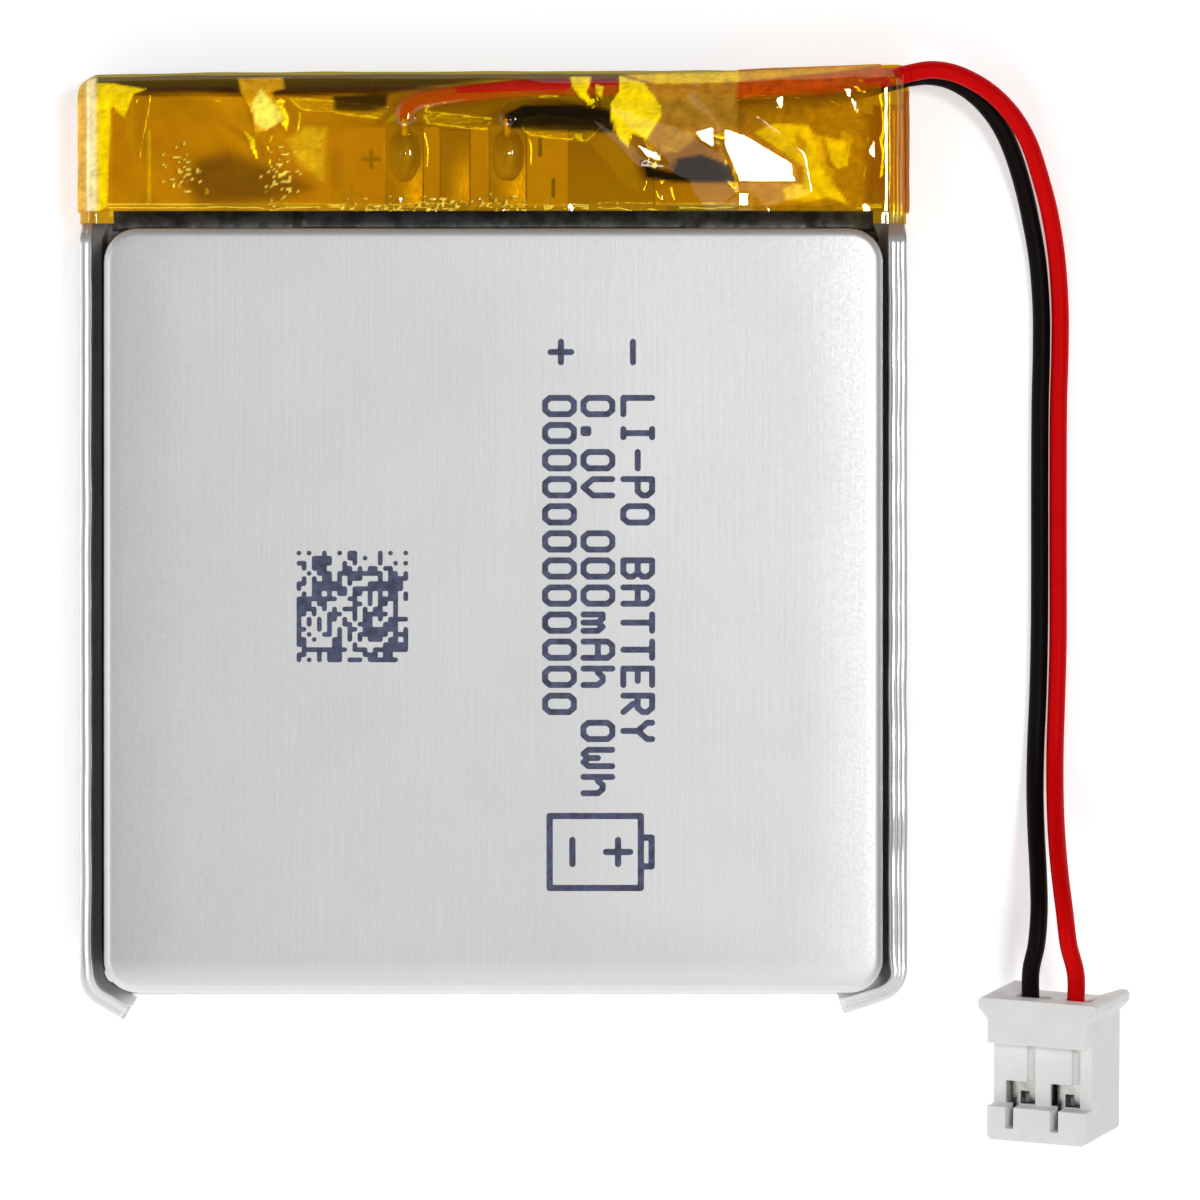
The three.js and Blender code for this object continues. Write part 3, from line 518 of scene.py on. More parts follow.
# Each look has the name of the CAD slot it dresses, or a name of its own.
MATERIALS = {
    # In both laminates the darker colour low down is painted shade, and the pale foot is a painted
    # highlight.
    "face": laminate(
        "laminate face", grey(223), 0.42, 0.5, 0.2, 1.0, srgb(122, 122, 124),
        FACE_Z - 0.3, -17.5, OUTER_LOW.y + 0.1,
    ),
    "laminate": laminate(
        "laminate edge", grey(230), 0.22, 0.6, 0.3, 0.12, srgb(120, 120, 122), 0.6, -16.5, 13.3
    ),
    "amber_tape": film("outer amber film", 0.02, 0.06),
    "inner film": film("inner amber film", 0.04, 0.85),
    "nickel": nickel("bright nickel strip", 0.3, 5.0, 0.8),
    "dull nickel": nickel("dull nickel strip", 0.5, 0.0, 0.3),
    "connector_nylon": nylon(),
    "barley_paper": paper(),
    "ink": ink(),
}
PLASTICS = {
    "foam": ("foam", (48, 47, 46), 0.9),
    "board_laminate": ("board mask", (172, 132, 80), 0.42, 0.85),
    "board print": ("board print", (240, 200, 132), 0.6, 0.93),
    "chip_package": ("chip package", (30, 30, 32), 0.5, 0.8),
    "chip_ceramic": ("chip ceramic", (178, 140, 96), 0.4),
    "red_insulation": ("red insulation", (222, 0, 2), 0.5, 0.93, 0.06),
    "black_insulation": ("black insulation", (14, 6, 6), 0.5, 0.85, 0.08),
    "cathode_coating": ("cathode coating", (52, 53, 58), 0.7),
    "anode_coating": ("anode coating", (30, 30, 32), 0.6),
    "separator": ("separator film", (240, 240, 236), 0.5),
    "stop_tape": ("stop tape", (70, 150, 96), 0.35),
    "tab_sealant": ("tab sealant", (232, 228, 214), 0.4),
}
METALS = {
    "gold_pad": ("pad plating", (206, 170, 110), 0.42, (3, 0.6, 3), 0.12),
    "copper": ("tinned strands", (214, 170, 140), 0.3, (9, 1, 9), 0.4),
    "solder": ("solder", (196, 150, 100), 0.5, (3, 1, 3), 0.3, 0.3),
    "terminal_tin": ("tinned bronze", (226, 225, 222), 0.22, (1, 4, 4), 0.3, 0.9),
    "tab_aluminium": ("tab foil", (220, 221, 224), 0.28, (9, 1, 9)),
}
for make, table in ((plastic, PLASTICS), (metal, METALS)):
    for slot, (name, levels, *rest) in table.items():
        MATERIALS[slot] = make(name, srgb(*levels), *rest)


def dress_cad_nodes():
    """Every carried-over CAD node gets the procedural material of its slot."""
    for entry in frame["record"]["subparts"]:
        data = NODES[entry["node"]].data
        data.materials.clear()
        data.materials.append(MATERIALS[entry["material_slot"]])


# ---- Camera, light and floor ----
VIEW_CENTRE = (4.448, -2.5)  # on the face's plane
VIEW_WIDTH, VIEW_DISTANCE, LIGHT_DISTANCE = 50.0, 500.0, 600.0
SENSOR_WIDTH = 36
FLOOR_HALF, FLOOR_Z = 2000, -0.02
# Softboxes: name, azimuth and angle from the zenith in degrees, size, and radiance.
LIGHTS = (
    ("key", 20, 17, (104, 104), 30),
    ("left", 182, 58, (240, 140), 4),
    ("foot", 268, 38, (120, 60), 10),
)
# The studio's grey levels by the direction's height, with a dark ceiling panel overhead.
STUDIO_STOPS = ((0.0, 0.4), (0.4, 0.6), (0.7, 0.95), (0.87, 0.95), (0.89, 0.03), (1.0, 0.03))


def add_camera():
    camera = bpy.data.cameras.new("camera")
    camera.sensor_width = SENSOR_WIDTH
    camera.lens = SENSOR_WIDTH * VIEW_DISTANCE / VIEW_WIDTH
    made = linked("camera", camera)
    made.location = Vector((*VIEW_CENTRE, FACE_Z + VIEW_DISTANCE)) * MM
    bpy.context.scene.camera = made


def add_light(name, azimuth, from_zenith, size, level):
    """A softbox that looks at the pack. Azimuth 0 is on the +X side, 90 on the +Y side."""
    light = bpy.data.lights.new(name, "AREA")
    light.shape = "RECTANGLE"
    light.size, light.size_y = (s * MM for s in size)
    light.energy = level * math.pi * light.size * light.size_y
    a, e = math.radians(azimuth), math.radians(90 - from_zenith)
    away = Vector((math.cos(a) * math.cos(e), math.sin(a) * math.cos(e), math.sin(e)))
    made = linked(name, light)
    made.location = away * LIGHT_DISTANCE * MM
    made.rotation_mode = "QUATERNION"
    made.rotation_quaternion = away.to_track_quat("Z", "Y")


def add_world():
    """A pale studio, dimmer low down, on the right and behind the head."""
    look = Look("studio", bpy.data.worlds)
    split = look.outputs("SeparateXYZ", {0: look.node("TexCoord", {}, "Generated")})
    colour = look.node("ValToRGB", {"Fac": split["Z"]})
    elements = colour.node.color_ramp.elements
    while len(elements) < len(STUDIO_STOPS):
        elements.new(0.5)
    for element, (position, level) in zip(elements, STUDIO_STOPS):
        element.position = position
        element.color = (level, level, level, 1)
    behind_head = look.ramp(split["Y"], 0.1, 0.5, 1.0, 0.15)
    to_right = look.ramp(split["X"], 0.4, 0.8, 1.0, 0.2)
    strength = look.calc("MULTIPLY", behind_head, to_right)
    background = look.node("Background", {"Color": colour, "Strength": strength})
    bpy.context.scene.world = look.finish(background, "OutputWorld")


def add_floor():
    corners = [(x * FLOOR_HALF, y * FLOOR_HALF, FLOOR_Z) for x, y in ((-1, -1), (1, -1), (1, 1), (-1, 1))]
    floor = new_object("floor", corners, [(0, 1, 2, 3)])
    white = (0.92, 0.92, 0.92, 1)
    material = Look("floor").principled(
        Base_Color=white, Roughness=0.9, Emission_Color=white, Emission_Strength=0.5
    )
    floor.data.materials.append(material)


def add_studio():
    add_world()
    add_floor()
    for light in LIGHTS:
        add_light(*light)
    bpy.context.scene.view_settings.view_transform = "Standard"


# ---- Connector and leads ----
def add_connector():
    show_rounded("connector_housing", "connector_nylon", 0.11, 4)
    for pole in ("positive", "negative"):
        show_rounded(f"{pole}_crimp_terminal", "terminal_tin", 0.03)


def add_leads():
    for colour, held, free, pole, name in (
        ("red", RED_HELD, RED_FREE, 1, "positive"),
        ("black", BLACK_HELD, BLACK_FREE, -1, "negative"),
    ):
        slot = f"{colour}_insulation"
        under = tube(f"{colour}_lead_under_tape", catmull_rom([*held, free[0]]), TUBE_SIDES)
        show(under, slot, f"{colour}_wire_held")
        route = catmull_rom([*free, *lead_end(pole)])
        lead = tube(f"{colour}_lead", route, LEAD_SIDES)
        show(lead, slot, f"{colour}_wire")


# ---- Pouch ----
TOP_INSET, FILLET = 0.2, 0.36
SIDE_CROWN, END_CROWN, CROWN_REACH = 0.12, 0.02, 3.4  # how the face falls towards its edges
# The cup's wall from the rim up, as (inset, height).
CUP_WALL = ((0.0, 0.14), (0.02, 0.26), (0.1, 0.34), (0.14, 1.4), (0.17, 2.6), (TOP_INSET, FACE_Z - FILLET))
TERRACE_Z, TERRACE_HEAD_Y = 0.26, 17.9
JOGGLE, JOGGLE_RUN = 0.24, 0.7  # the sealed margin's step up, and how far it takes
TAB_X, TAB_RISE, TAB_EDGE = 10.8, 0.36, (2.3, 2.75)  # the margin rises over each tab, up to its edges
FACE_WAVES = ((0.030, 0.09, 0.07, 3.1), (0.006, 0.33, 0.3, 8.7))  # height, frequency in X and Y, seed
FACE_POINTS, CORNER_POINTS, RING_STEPS, FILLET_STEPS = 28, 8, 8, 6  # the cup's mesh
TERRACE_MESH, COVER_MESH = (160, 30), (132, 148)


def rounded_ring(inset, z):
    """The cup's outline pulled in by inset, at height z, with points along its sides too."""
    radius = max(CUP_CORNER - inset, 0.35)
    x = max(CUP_HALF_WIDTH - inset - radius, 0.0)
    head, foot = CUP_HEAD_Y - inset - radius, CUP_FOOT_Y + inset + radius
    if head < foot:
        head = foot = CUP_MIDDLE_Y
    centres = [Vector(c) for c in ((x, head, z), (-x, head, z), (-x, foot, z), (x, foot, z))]
    ring = []
    for quarter, (centre, following) in enumerate(zip(centres, [*centres[1:], centres[0]])):
        for a in steps(math.pi / 2 * quarter, math.pi / 2 * (quarter + 1), CORNER_POINTS):
            edge = Vector((radius * math.cos(a), radius * math.sin(a), 0))
            ring.append(centre + edge)
        start, end = centre + edge, following + edge
        ring += [start.lerp(end, share) for share in steps(0, 1, FACE_POINTS)[1:-1]]
    return ring


def face_wave(x, y):
    """The printed face's slight waviness."""
    return sum(height * wave(x * in_x, y * in_y, seed) for height, in_x, in_y, seed in FACE_WAVES)


def crown(x, y):
    """How far the face lies below its middle."""
    from_side = (CUP_HALF_WIDTH - TOP_INSET - abs(x)) / CROWN_REACH
    from_end = (min(CUP_HEAD_Y - y, y - CUP_FOOT_Y) - TOP_INSET) / CROWN_REACH
    side, end = (max(1 - max(share, 0), 0) ** 2 for share in (from_side, from_end))
    return SIDE_CROWN * side + END_CROWN * end


def cup_rings(thickness):
    """The cup from its rim to the middle of its face, its surface moved in by thickness."""
    turn = steps(0, math.pi / 2, FILLET_STEPS)[1:]
    arc = [(TOP_INSET + FILLET * (1 - math.cos(a)), FACE_Z - FILLET * (1 - math.sin(a))) for a in turn]
    edge = arc[-1][0]
    insets = steps(edge, edge + CROWN_REACH, RING_STEPS)[1:]
    insets += steps(edge + CROWN_REACH, CUP_HALF_WIDTH - 1.2, RING_STEPS)[1:]
    rings = []
    for inset, z in (*CUP_WALL, *arc, *((inset, FACE_Z) for inset in insets)):
        ring = rounded_ring(inset, z)
        share = smoothstep(edge, edge + 3, inset)
        for p in ring:
            p.z += share * face_wave(p.x, p.y) - (thickness if inset > TOP_INSET else 0)
            p.z -= crown(p.x, p.y) if inset >= TOP_INSET else 0
            p.x -= thickness * p.x / CUP_HALF_WIDTH
            p.y -= thickness * (p.y - CUP_MIDDLE_Y) / CUP_HALF_LENGTH
        rings.append(ring)
    return rings


def slab(low, high, columns, rows, top):
    """A sheet of laminate over a rectangle, its upper surface at top(x, y), as vertices and faces."""
    xs, ys = steps(low[0], high[0], columns), steps(low[1], high[1], rows)
    vertices = [Vector((x, y, top(x, y) - down)) for down in (0, FILM) for y in ys for x in xs]
    across, layer = columns + 1, (columns + 1) * (rows + 1)
    faces = []
    for a in (i + j * across for j in range(rows) for i in range(columns)):
        quad = (a, a + 1, a + across + 1, a + across)
        faces += [quad, tuple(layer + k for k in reversed(quad))]
    rim = [*range(columns), *range(columns, layer - 1, across)]
    rim += [*range(layer - 1, layer - across, -1), *range(layer - across, 0, -across)]
    faces += [(b, a, layer + a, layer + b) for a, b in zip(rim, rim[1:] + rim[:1])]
    return vertices, faces


def joggle(y):
    """How far the sealed margin is lifted above the back's plane."""
    return JOGGLE * smoothstep(CUP_HEAD_Y, CUP_HEAD_Y + JOGGLE_RUN, y)


def terrace_top(x, y):
    """The cup film's sealed margin, with a rise over each tab."""
    return TERRACE_Z + joggle(y) + TAB_RISE * (1 - smoothstep(*TAB_EDGE, abs(abs(x) - TAB_X)))


def add_cup():
    vertices, faces = skin([*reversed(cup_rings(FILM)), *cup_rings(0.0)])
    low, high = (-TERRACE_HALF_WIDTH, CUP_HEAD_Y - 0.2), (TERRACE_HALF_WIDTH, TERRACE_HEAD_Y)
    sheet, sheet_faces = slab(low, high, *TERRACE_MESH, terrace_top)
    faces += [tuple(i + len(vertices) for i in face) for face in sheet_faces]
    show(new_object("pouch_cup", vertices + sheet, faces), "laminate", "pouch_cup_film", look="face")


def cover_top(x, y):
    """The flat back, with the faint mark that the press leaves inside its edges."""
    near = min(CUP_HALF_WIDTH - 0.2 - abs(x), y - CUP_FOOT_Y)
    press = 0.02 * smoothstep(1.5, 1.9, near) * (y < CUP_HEAD_Y - 1)
    return FILM + joggle(y) + abs(0.012 * wave(x * 0.1, y * 0.1, 5)) + press


def add_cover():
    low, high = (-CUP_HALF_WIDTH, COVER_LOW.y), (CUP_HALF_WIDTH, COVER_HIGH.y)
    vertices, faces = slab(low, high, *COVER_MESH, cover_top)
    for p in vertices:
        # Corners at the foot, and the narrower margin under the tape.
        rise = max(CUP_FOOT_Y + CUP_CORNER - p.y, 0)
        limit = CUP_HALF_WIDTH - CUP_CORNER + math.sqrt(max(CUP_CORNER**2 - rise**2, 0))
        under_tape = smoothstep(CUP_HEAD_Y + 0.15, CUP_HEAD_Y + 0.45, p.y)
        limit -= (CUP_HALF_WIDTH - TERRACE_HALF_WIDTH) * under_tape
        p.x *= limit / CUP_HALF_WIDTH
    show(new_object("pouch_cover", vertices, faces), "laminate", "pouch_cover_film", look="face")


# ---- Side seams ----
SEAM_OUT = 0.13  # how far a seam bulges past its outer plane
SEAM_BEND_RADIUS = 1.4
ROOT, WEB = 0.34, 0.5  # the root beside the cup: its width, and its share of the height
TAPED_BOTTOM, TAPED_TOP, TAPED = 1.25, 3.15, (12.6, 13.4)  # heights where the tape holds a seam, and where
EAR_THICKNESS, EAR_FROM = 0.62, (-18.8, -17.0)
SIDE_POINTS, BEND_POINTS, TIP_POINTS = 130, 14, 6  # the seams' mesh
# Where an ear's bend begins, how far it turns, and its length.
LEFT_EAR, RIGHT_EAR = (-18.15, math.radians(60), 1.3), (-17.9, math.radians(72), 1.75)
# The folds' tops from the outside in: shares of the thickness, and of the height.
LEFT_FOLDS = (
    (0.01, 0.93), (0.03, 0.942), (0.06, 0.945), (0.3, 0.952), (0.46, 0.955), (0.5, 0.957), (0.54, 0.96),
    (0.92, 0.992), (0.95, 0.99), (0.98, 0.98), (1.0, 0.94),
)
RIGHT_FOLDS = (
    (0.01, 0.965), (0.03, 0.978), (0.05, 0.982), (0.34, 0.994), (0.38, 0.99), (0.41, 0.976), (0.44, 0.979),
    (0.6, 0.976), (0.64, 0.968), (0.68, 0.973), (0.93, 0.967), (0.97, 0.96), (1.0, 0.94),
)


def seam_path(outer_x, head_y, bend_y, turn, length):
    """The left seam's outer line in plan, from the head to the tip of the ear, with its direction."""
    radius = SEAM_BEND_RADIUS
    line = [(Vector((-outer_x, y, 0)), Vector((0, -1, 0))) for y in steps(head_y, bend_y, SIDE_POINTS)[:-1]]
    for a in steps(0, turn, BEND_POINTS):
        spot = Vector((radius * (1 - math.cos(a)) - outer_x, bend_y - radius * math.sin(a), 0))
        along = Vector((math.sin(a), -math.cos(a), 0))
        line.append((spot, along))
    return line + [(spot + along * away, along) for away in steps(0, length, TIP_POINTS)[1:]]


def add_seam(name, node_name, side, thickness, folds, ear, seed):
    """A margin folded up against the cup, on the left (side 1) or on the right (side -1)."""
    low, high = box_mm(node_name)
    outer_x = max(abs(low.x), abs(high.x)) + SEAM_OUT
    rings = []
    for spot, along in seam_path(outer_x, high.y, *ear):
        outward = Vector((along.y, -along.x, 0))
        taped = smoothstep(*TAPED, spot.y)
        bottom = low.z + (TAPED_BOTTOM - low.z) * taped
        s = spot.y * 0.55 + spot.x
        top = high.z + (TAPED_TOP - high.z) * taped - 0.05 - 0.05 * wave(s, seed, 0)
        sway = 0.04 * wave(s * 0.7, seed, 4)
        width = thickness + (EAR_THICKNESS - thickness) * (1 - smoothstep(*EAR_FROM, spot.y))
        width *= 1 - 0.2 * taped
        root = -width - ROOT - 0.3 * taped
        section = [(0.0, 0.0), (0.0, 0.5), *folds, (1.0, WEB + 0.1), (1.0, WEB)]
        outline = [(-share * width, height) for share, height in section] + [(root, WEB), (root, 0.0)]
        ring = []
        for across, height in outline:
            p = spot + outward * (across + sway * height - 0.1 * taped)
            ring.append(Vector((p.x * side, p.y, bottom + (top - bottom) * height)))
        rings.append(ring)
    seam = new_object(name, *skin(rings))
    merge(seam)
    show(seam, "laminate", node_name)


# ---- Print on the face ----
GLYPHS = {
    "0": "01110 10001 10001 10001 10001 10001 01110",
    "A": "01110 10001 10001 11111 10001 10001 10001",
    "B": "11110 10001 10001 11110 10001 10001 11110",
    "E": "11111 10000 10000 11110 10000 10000 11111",
    "I": "01110 00100 00100 00100 00100 00100 01110",
    "L": "10000 10000 10000 10000 10000 10000 11111",
    "O": "01110 10001 10001 10001 10001 10001 01110",
    "P": "11110 10001 10001 11110 10000 10000 10000",
    "R": "11110 10001 10001 11110 10100 10010 10001",
    "T": "11111 00100 00100 00100 00100 00100 00100",
    "V": "10001 10001 10001 10001 10001 01010 00100",
    "W": "10001 10001 10001 10101 10101 10101 01010",
    "Y": "10001 10001 01010 00100 00100 00100 00100",
    "h": "10000 10000 10110 11001 10001 10001 10001",
    "m": "00000 00000 11010 10101 10101 10101 10101",
    "-": "00000 00000 00000 11111 00000 00000 00000",
    ".": "00000 00000 00000 00000 00000 01100 01100",
}
DOT_ACROSS, DOT_DOWN, CHARACTER_PITCH, DOT_RADIUS = 0.17, 0.2, 1.128, 0.125
INK_CELL, INK_HEIGHT, INK_SUNK = 0.045, 0.012, 0.01
INK_FLAT = 0.01  # the angle, in radians, under which an outline counts as straight
MODULE_SHARE, MODULE_RADIUS = 0.56, 0.47  # the share of a square's dots that are drawn, and their radius
TEXT_TOP_Y = 5.92
TEXT_LINES = (("LI-PO BATTERY", 6.62), ("0.0V 000mAh 0Wh", 4.96), ("000000000000", 3.36))
POLE_ARM, POLE_MARKS = 0.43, ((2.82, 7.83, "-|"), (5.82, 7.83, "|"))
SQUARE = (-8.2, -5.1, 4.66, 22, 7)  # lowest corner, side, dots along a side, seed
BATTERY_SIGN_AT = (4.25, -13.0)


def ink_shape(strokes):
    """The filled outline of a set of round-ended strokes, as flat polygons: marching squares."""
    reach = max(s[4] for s in strokes) + 2 * INK_CELL
    low = [min(min(s[n], s[n + 2]) for s in strokes) - reach for n in (0, 1)]
    field = {}
    for s in strokes:
        spans = []
        for n in (0, 1):
            first = int((min(s[n], s[n + 2]) - reach - low[n]) / INK_CELL)
            last = int((max(s[n], s[n + 2]) + reach - low[n]) / INK_CELL) + 1
            spans.append(range(first, last + 1))
        for i, j in itertools.product(*spans):
            away, _ = from_line(low[0] + i * INK_CELL, low[1] + j * INK_CELL, *s[:4])
            field[i, j] = min(field.get((i, j), reach), away - s[4])
    vertices, index, faces = [], {}, []

    def vertex(a, b):
        """A grid point, or where the outline crosses between two."""
        key = (min(a, b), max(a, b))
        if key not in index:
            t = 0 if a == b else field[a] / (field[a] - field[b])
            index[key] = len(vertices)
            vertices.append(tuple(low[n] + (a[n] + t * (b[n] - a[n])) * INK_CELL for n in (0, 1)))
        return index[key]

    for i, j in list(field):
        corners = [(i, j), (i + 1, j), (i + 1, j + 1), (i, j + 1)]
        if not all(c in field for c in corners):
            continue
        polygon = []
        for a, b in zip(corners, corners[1:] + corners[:1]):
            if field[a] < 0:
                polygon.append(vertex(a, a))
            if (field[a] < 0) != (field[b] < 0):
                polygon.append(vertex(a, b))
        if len(polygon) > 2:
            faces.append(tuple(polygon))
    return vertices, faces


def raised(name, strokes, height_at, thickness):
    """A thin layer of print on a surface whose height is height_at(x, y)."""
    flat, faces = ink_shape(strokes)
    mesh = bpy.data.meshes.new(name)
    mesh.from_pydata([(x, y, 0) for x, y in flat], [], faces)
    with editing(mesh) as bm:
        bmesh.ops.dissolve_limit(bm, angle_limit=INK_FLAT, verts=bm.verts, edges=bm.edges)
        bmesh.ops.triangulate(bm, faces=bm.faces)
        top = bmesh.ops.extrude_face_region(bm, geom=bm.faces[:])
        raised_verts = {v for v in top["geom"] if isinstance(v, bmesh.types.BMVert)}
        for v in bm.verts:
            v.co.z = height_at(v.co.x, v.co.y) + (thickness if v in raised_verts else -INK_SUNK)
            v.co *= MM
        bmesh.ops.recalc_face_normals(bm, faces=bm.faces)
    return linked(name, mesh)


def text_strokes(text, x, y):
    """Dot-matrix characters that read towards -Y, tops towards +X, the first one's top left at (x, y)."""
    strokes = []
    for position, character in enumerate(text):
        rows = GLYPHS.get(character, "").split()
        start = y - position * CHARACTER_PITCH
        dots = {(r, c) for r, row in enumerate(rows) for c, on in enumerate(row) if on == "1"}
        for r, c in sorted(dots):
            # Dots that touch side to side or, where nothing else joins them, corner to corner.
            joined = [(r, c), *(n for n in ((r + 1, c), (r, c + 1)) if n in dots)]
            for side in (c - 1, c + 1):
                if (r + 1, side) in dots and (r + 1, c) not in dots and (r, side) not in dots:
                    joined.append((r + 1, side))
            here = (x - r * DOT_DOWN, start - c * DOT_ACROSS)
            strokes += [(*here, x - r2 * DOT_DOWN, start - c2 * DOT_ACROSS, DOT_RADIUS) for r2, c2 in joined]
    return strokes


def module_strokes(low_x, low_y, size, count, seed):
    """A square of seeded dots that say nothing."""
    draw = random.Random(seed)
    pitch = size / count
    on = {(i, j) for i in range(count) for j in range(count) if draw.random() < MODULE_SHARE}
    strokes = []
    for i, j in sorted(on):
        x, y = low_x + (i + 0.5) * pitch, low_y + (j + 0.5) * pitch
        for di, dj in ((0, 0), (1, 0), (0, 1)):
            if (i + di, j + dj) in on:
                strokes.append((x, y, x + di * pitch, y + dj * pitch, pitch * MODULE_RADIUS))
    return strokes


def bars(x, y, arm, radius, directions):
    """A minus sign across, "-", one upright, "|", or a plus sign, "-|", centred on (x, y)."""
    reach = {"-": (arm, 0), "|": (0, arm)}
    return [(x - dx, y - dy, x + dx, y + dy, radius) for dx, dy in (reach[d] for d in directions)]


def battery_sign(x, y):
    """A plain battery outline lying on its side, with a plus and a minus, centred on (x, y)."""
    line, w, h, nub_w, nub_h, arm, apart = 0.13, 1.9, 1.5, 0.45, 0.6, 0.5, 0.95
    box = [(w, -h), (w, h), (-w, h), (-w, -h), (w, -h)]
    nub = [(w, -nub_h), (w + nub_w, -nub_h), (w + nub_w, nub_h), (w, nub_h)]
    sides = [side for outline in (box, nub) for side in zip(outline, outline[1:])]
    strokes = [(x + a[0], y + a[1], x + b[0], y + b[1], line) for a, b in sides]
    return strokes + bars(x + apart, y, arm, line, "-|") + bars(x - apart, y, arm, line, "|")


def face_height(x, y):
    return FACE_Z + face_wave(x, y) - crown(x, y)


def add_print():
    strokes = []
    for x, y, sign in POLE_MARKS:
        strokes += bars(x, y, POLE_ARM, DOT_RADIUS, sign)
    for text, x in TEXT_LINES:
        strokes += text_strokes(text, x, TEXT_TOP_Y)
    strokes += module_strokes(*SQUARE) + battery_sign(*BATTERY_SIGN_AT)
    show(raised("face_print", strokes, face_height, INK_HEIGHT), "laminate", look="ink")


# ---- Board, solder and nickel ----
BLOCKS, BLOCK_MARGIN = ((-6.25, -4.5), (-2.9, -2.25), (-0.95, -0.2), (1.4, 3.1)), 0.15
SIGNS = ((-5.1, 15.9, "-|"), (-5.9, 14.4, "-|"), (1.95, 16.4, "|"), (2.5, 14.7, "|"))
SIGN_ARM, SIGN_LINE = 0.34, 0.08
PRINT_Z, PRINT_HEIGHT, SIGN_LIFT = BOARD_HIGH.z + 0.01, 0.01, 0.012
MOUND_RINGS, MOUND_SIDES, MOUND_WOBBLE, MOUND_POWER = 10, 32, 0.07, 1.2


def block_strokes(x0, x1, y0, y1, radius=0.12):
    """Wide strokes that together fill a rectangle."""
    count = max(2, math.ceil((x1 - x0) / (radius * 1.4)))
    return [(x, y0 + radius, x, y1 - radius, radius) for x in steps(x0 + radius, x1 - radius, count - 1)]


def add_board():
    show_rounded("protection_board", "board_laminate", 0.06)
    for pad in ("positive_output_pad", "negative_output_pad", "test_pad"):
        show_rounded(pad, "gold_pad", 0.015)
    for chip in ("protection_ic", "mosfet_pair"):
        show_rounded(chip, "chip_package", 0.08)
    blocks, signs = [], []
    for x0, x1 in BLOCKS:
        blocks += block_strokes(x0, x1, BOARD_LOW.y + BLOCK_MARGIN, BOARD_HIGH.y - BLOCK_MARGIN)
    for x, y, sign in SIGNS:
        signs += bars(x, y, SIGN_ARM, SIGN_LINE, sign)
    block_print = raised("board_print_blocks", blocks, lambda x, y: PRINT_Z, PRINT_HEIGHT)
    show(block_print, "board_laminate", look="board print")
    sign_print = raised("board_signs", signs, lambda x, y: PRINT_Z + SIGN_LIFT, PRINT_HEIGHT)
    show(sign_print, "board_laminate", look="ink")


def add_solder():
    """A smooth mound over each stripped end, drawn out a little along it."""
    for pole in ("positive", "negative"):
        low, high = box_mm(f"{pole}_solder_joint")
        centre, reach = (low + high) / 2, (high - low) / 2
        rings = []
        for r, fall in enumerate(steps(0, math.pi / 2, MOUND_RINGS)):
            z = low.z + (high.z - low.z) * math.cos(fall) ** MOUND_POWER
            ring = []
            for a in steps(0, 2 * math.pi, MOUND_SIDES)[:-1]:
                wobble = wave(math.cos(a) * 2, math.sin(a) * 2, r * 0.3 + centre.x)
                out = math.sin(fall) * (1 + MOUND_WOBBLE * wobble)
                x, y = centre.x + reach.x * out * math.cos(a), centre.y + reach.y * out * math.sin(a)
                ring.append(Vector((x, y, z)))
            rings.append(ring)
        bead = new_object(f"{pole}_solder_bead", *skin(rings))
        merge(bead)
        show(bead, "solder", f"{pole}_solder_joint")


def add_nickel_strips():
    for pole, look in (("positive", "dull nickel"), ("negative", "nickel")):
        show_rounded(f"{pole}_nickel_strip", "nickel", 0.03, 2, 40, look)


# ---- Tape wraps ----
# Heights are of the film's surface over the board side of the head.
HEAD_ROUNDING = 1.15
OUTER_TOP, INNER_TOP = 4.2, 4.1
OVER_INNER, UNDER_LAP = 0.05, 0.03  # the least gaps between the turns
BESIDE_BOARD = 3.74  # the highest flat thing under the film: the nickel strips
MIRROR_SLOPE = (-0.14, -0.05)  # a facet with this slope shows the key softbox from above
FACET_WALL = 0.5  # how steeply the film falls away round a facet
FILM_STEP, FILM_FLOORS = 0.11, 20  # the sheets' mesh
LEAD_WAY = ((16.2, 18.75, 2.0), (18.5, 21.0, 3.8))  # the box in which the leads leave the film
BACK_TRIM_Y, BACK_TRIM_Z = 14.05, 0.24  # below both, the film would touch the pouch
SIDE_STRIP_X = 15.9  # the inner wrap's foot shows only beside the cup's corners
LAP_X = 10.15  # where the last lap starts
# Stretches in X that are crumpled or full of bubbles: where each one begins, and where it ends.
CRUMPLED_RIGHT, CRUMPLED_LEFT = ((4.0, 6.0), (15.4, 16.6)), ((-12.5, -11.0), (-7.5, -6.0))
BUBBLED_FOOT = ((-7, -5), (4, 7))
GLUE_AND_LIGHT_LOW_Z = 2.6  # the opaque glue and painted light end on the rounded edges
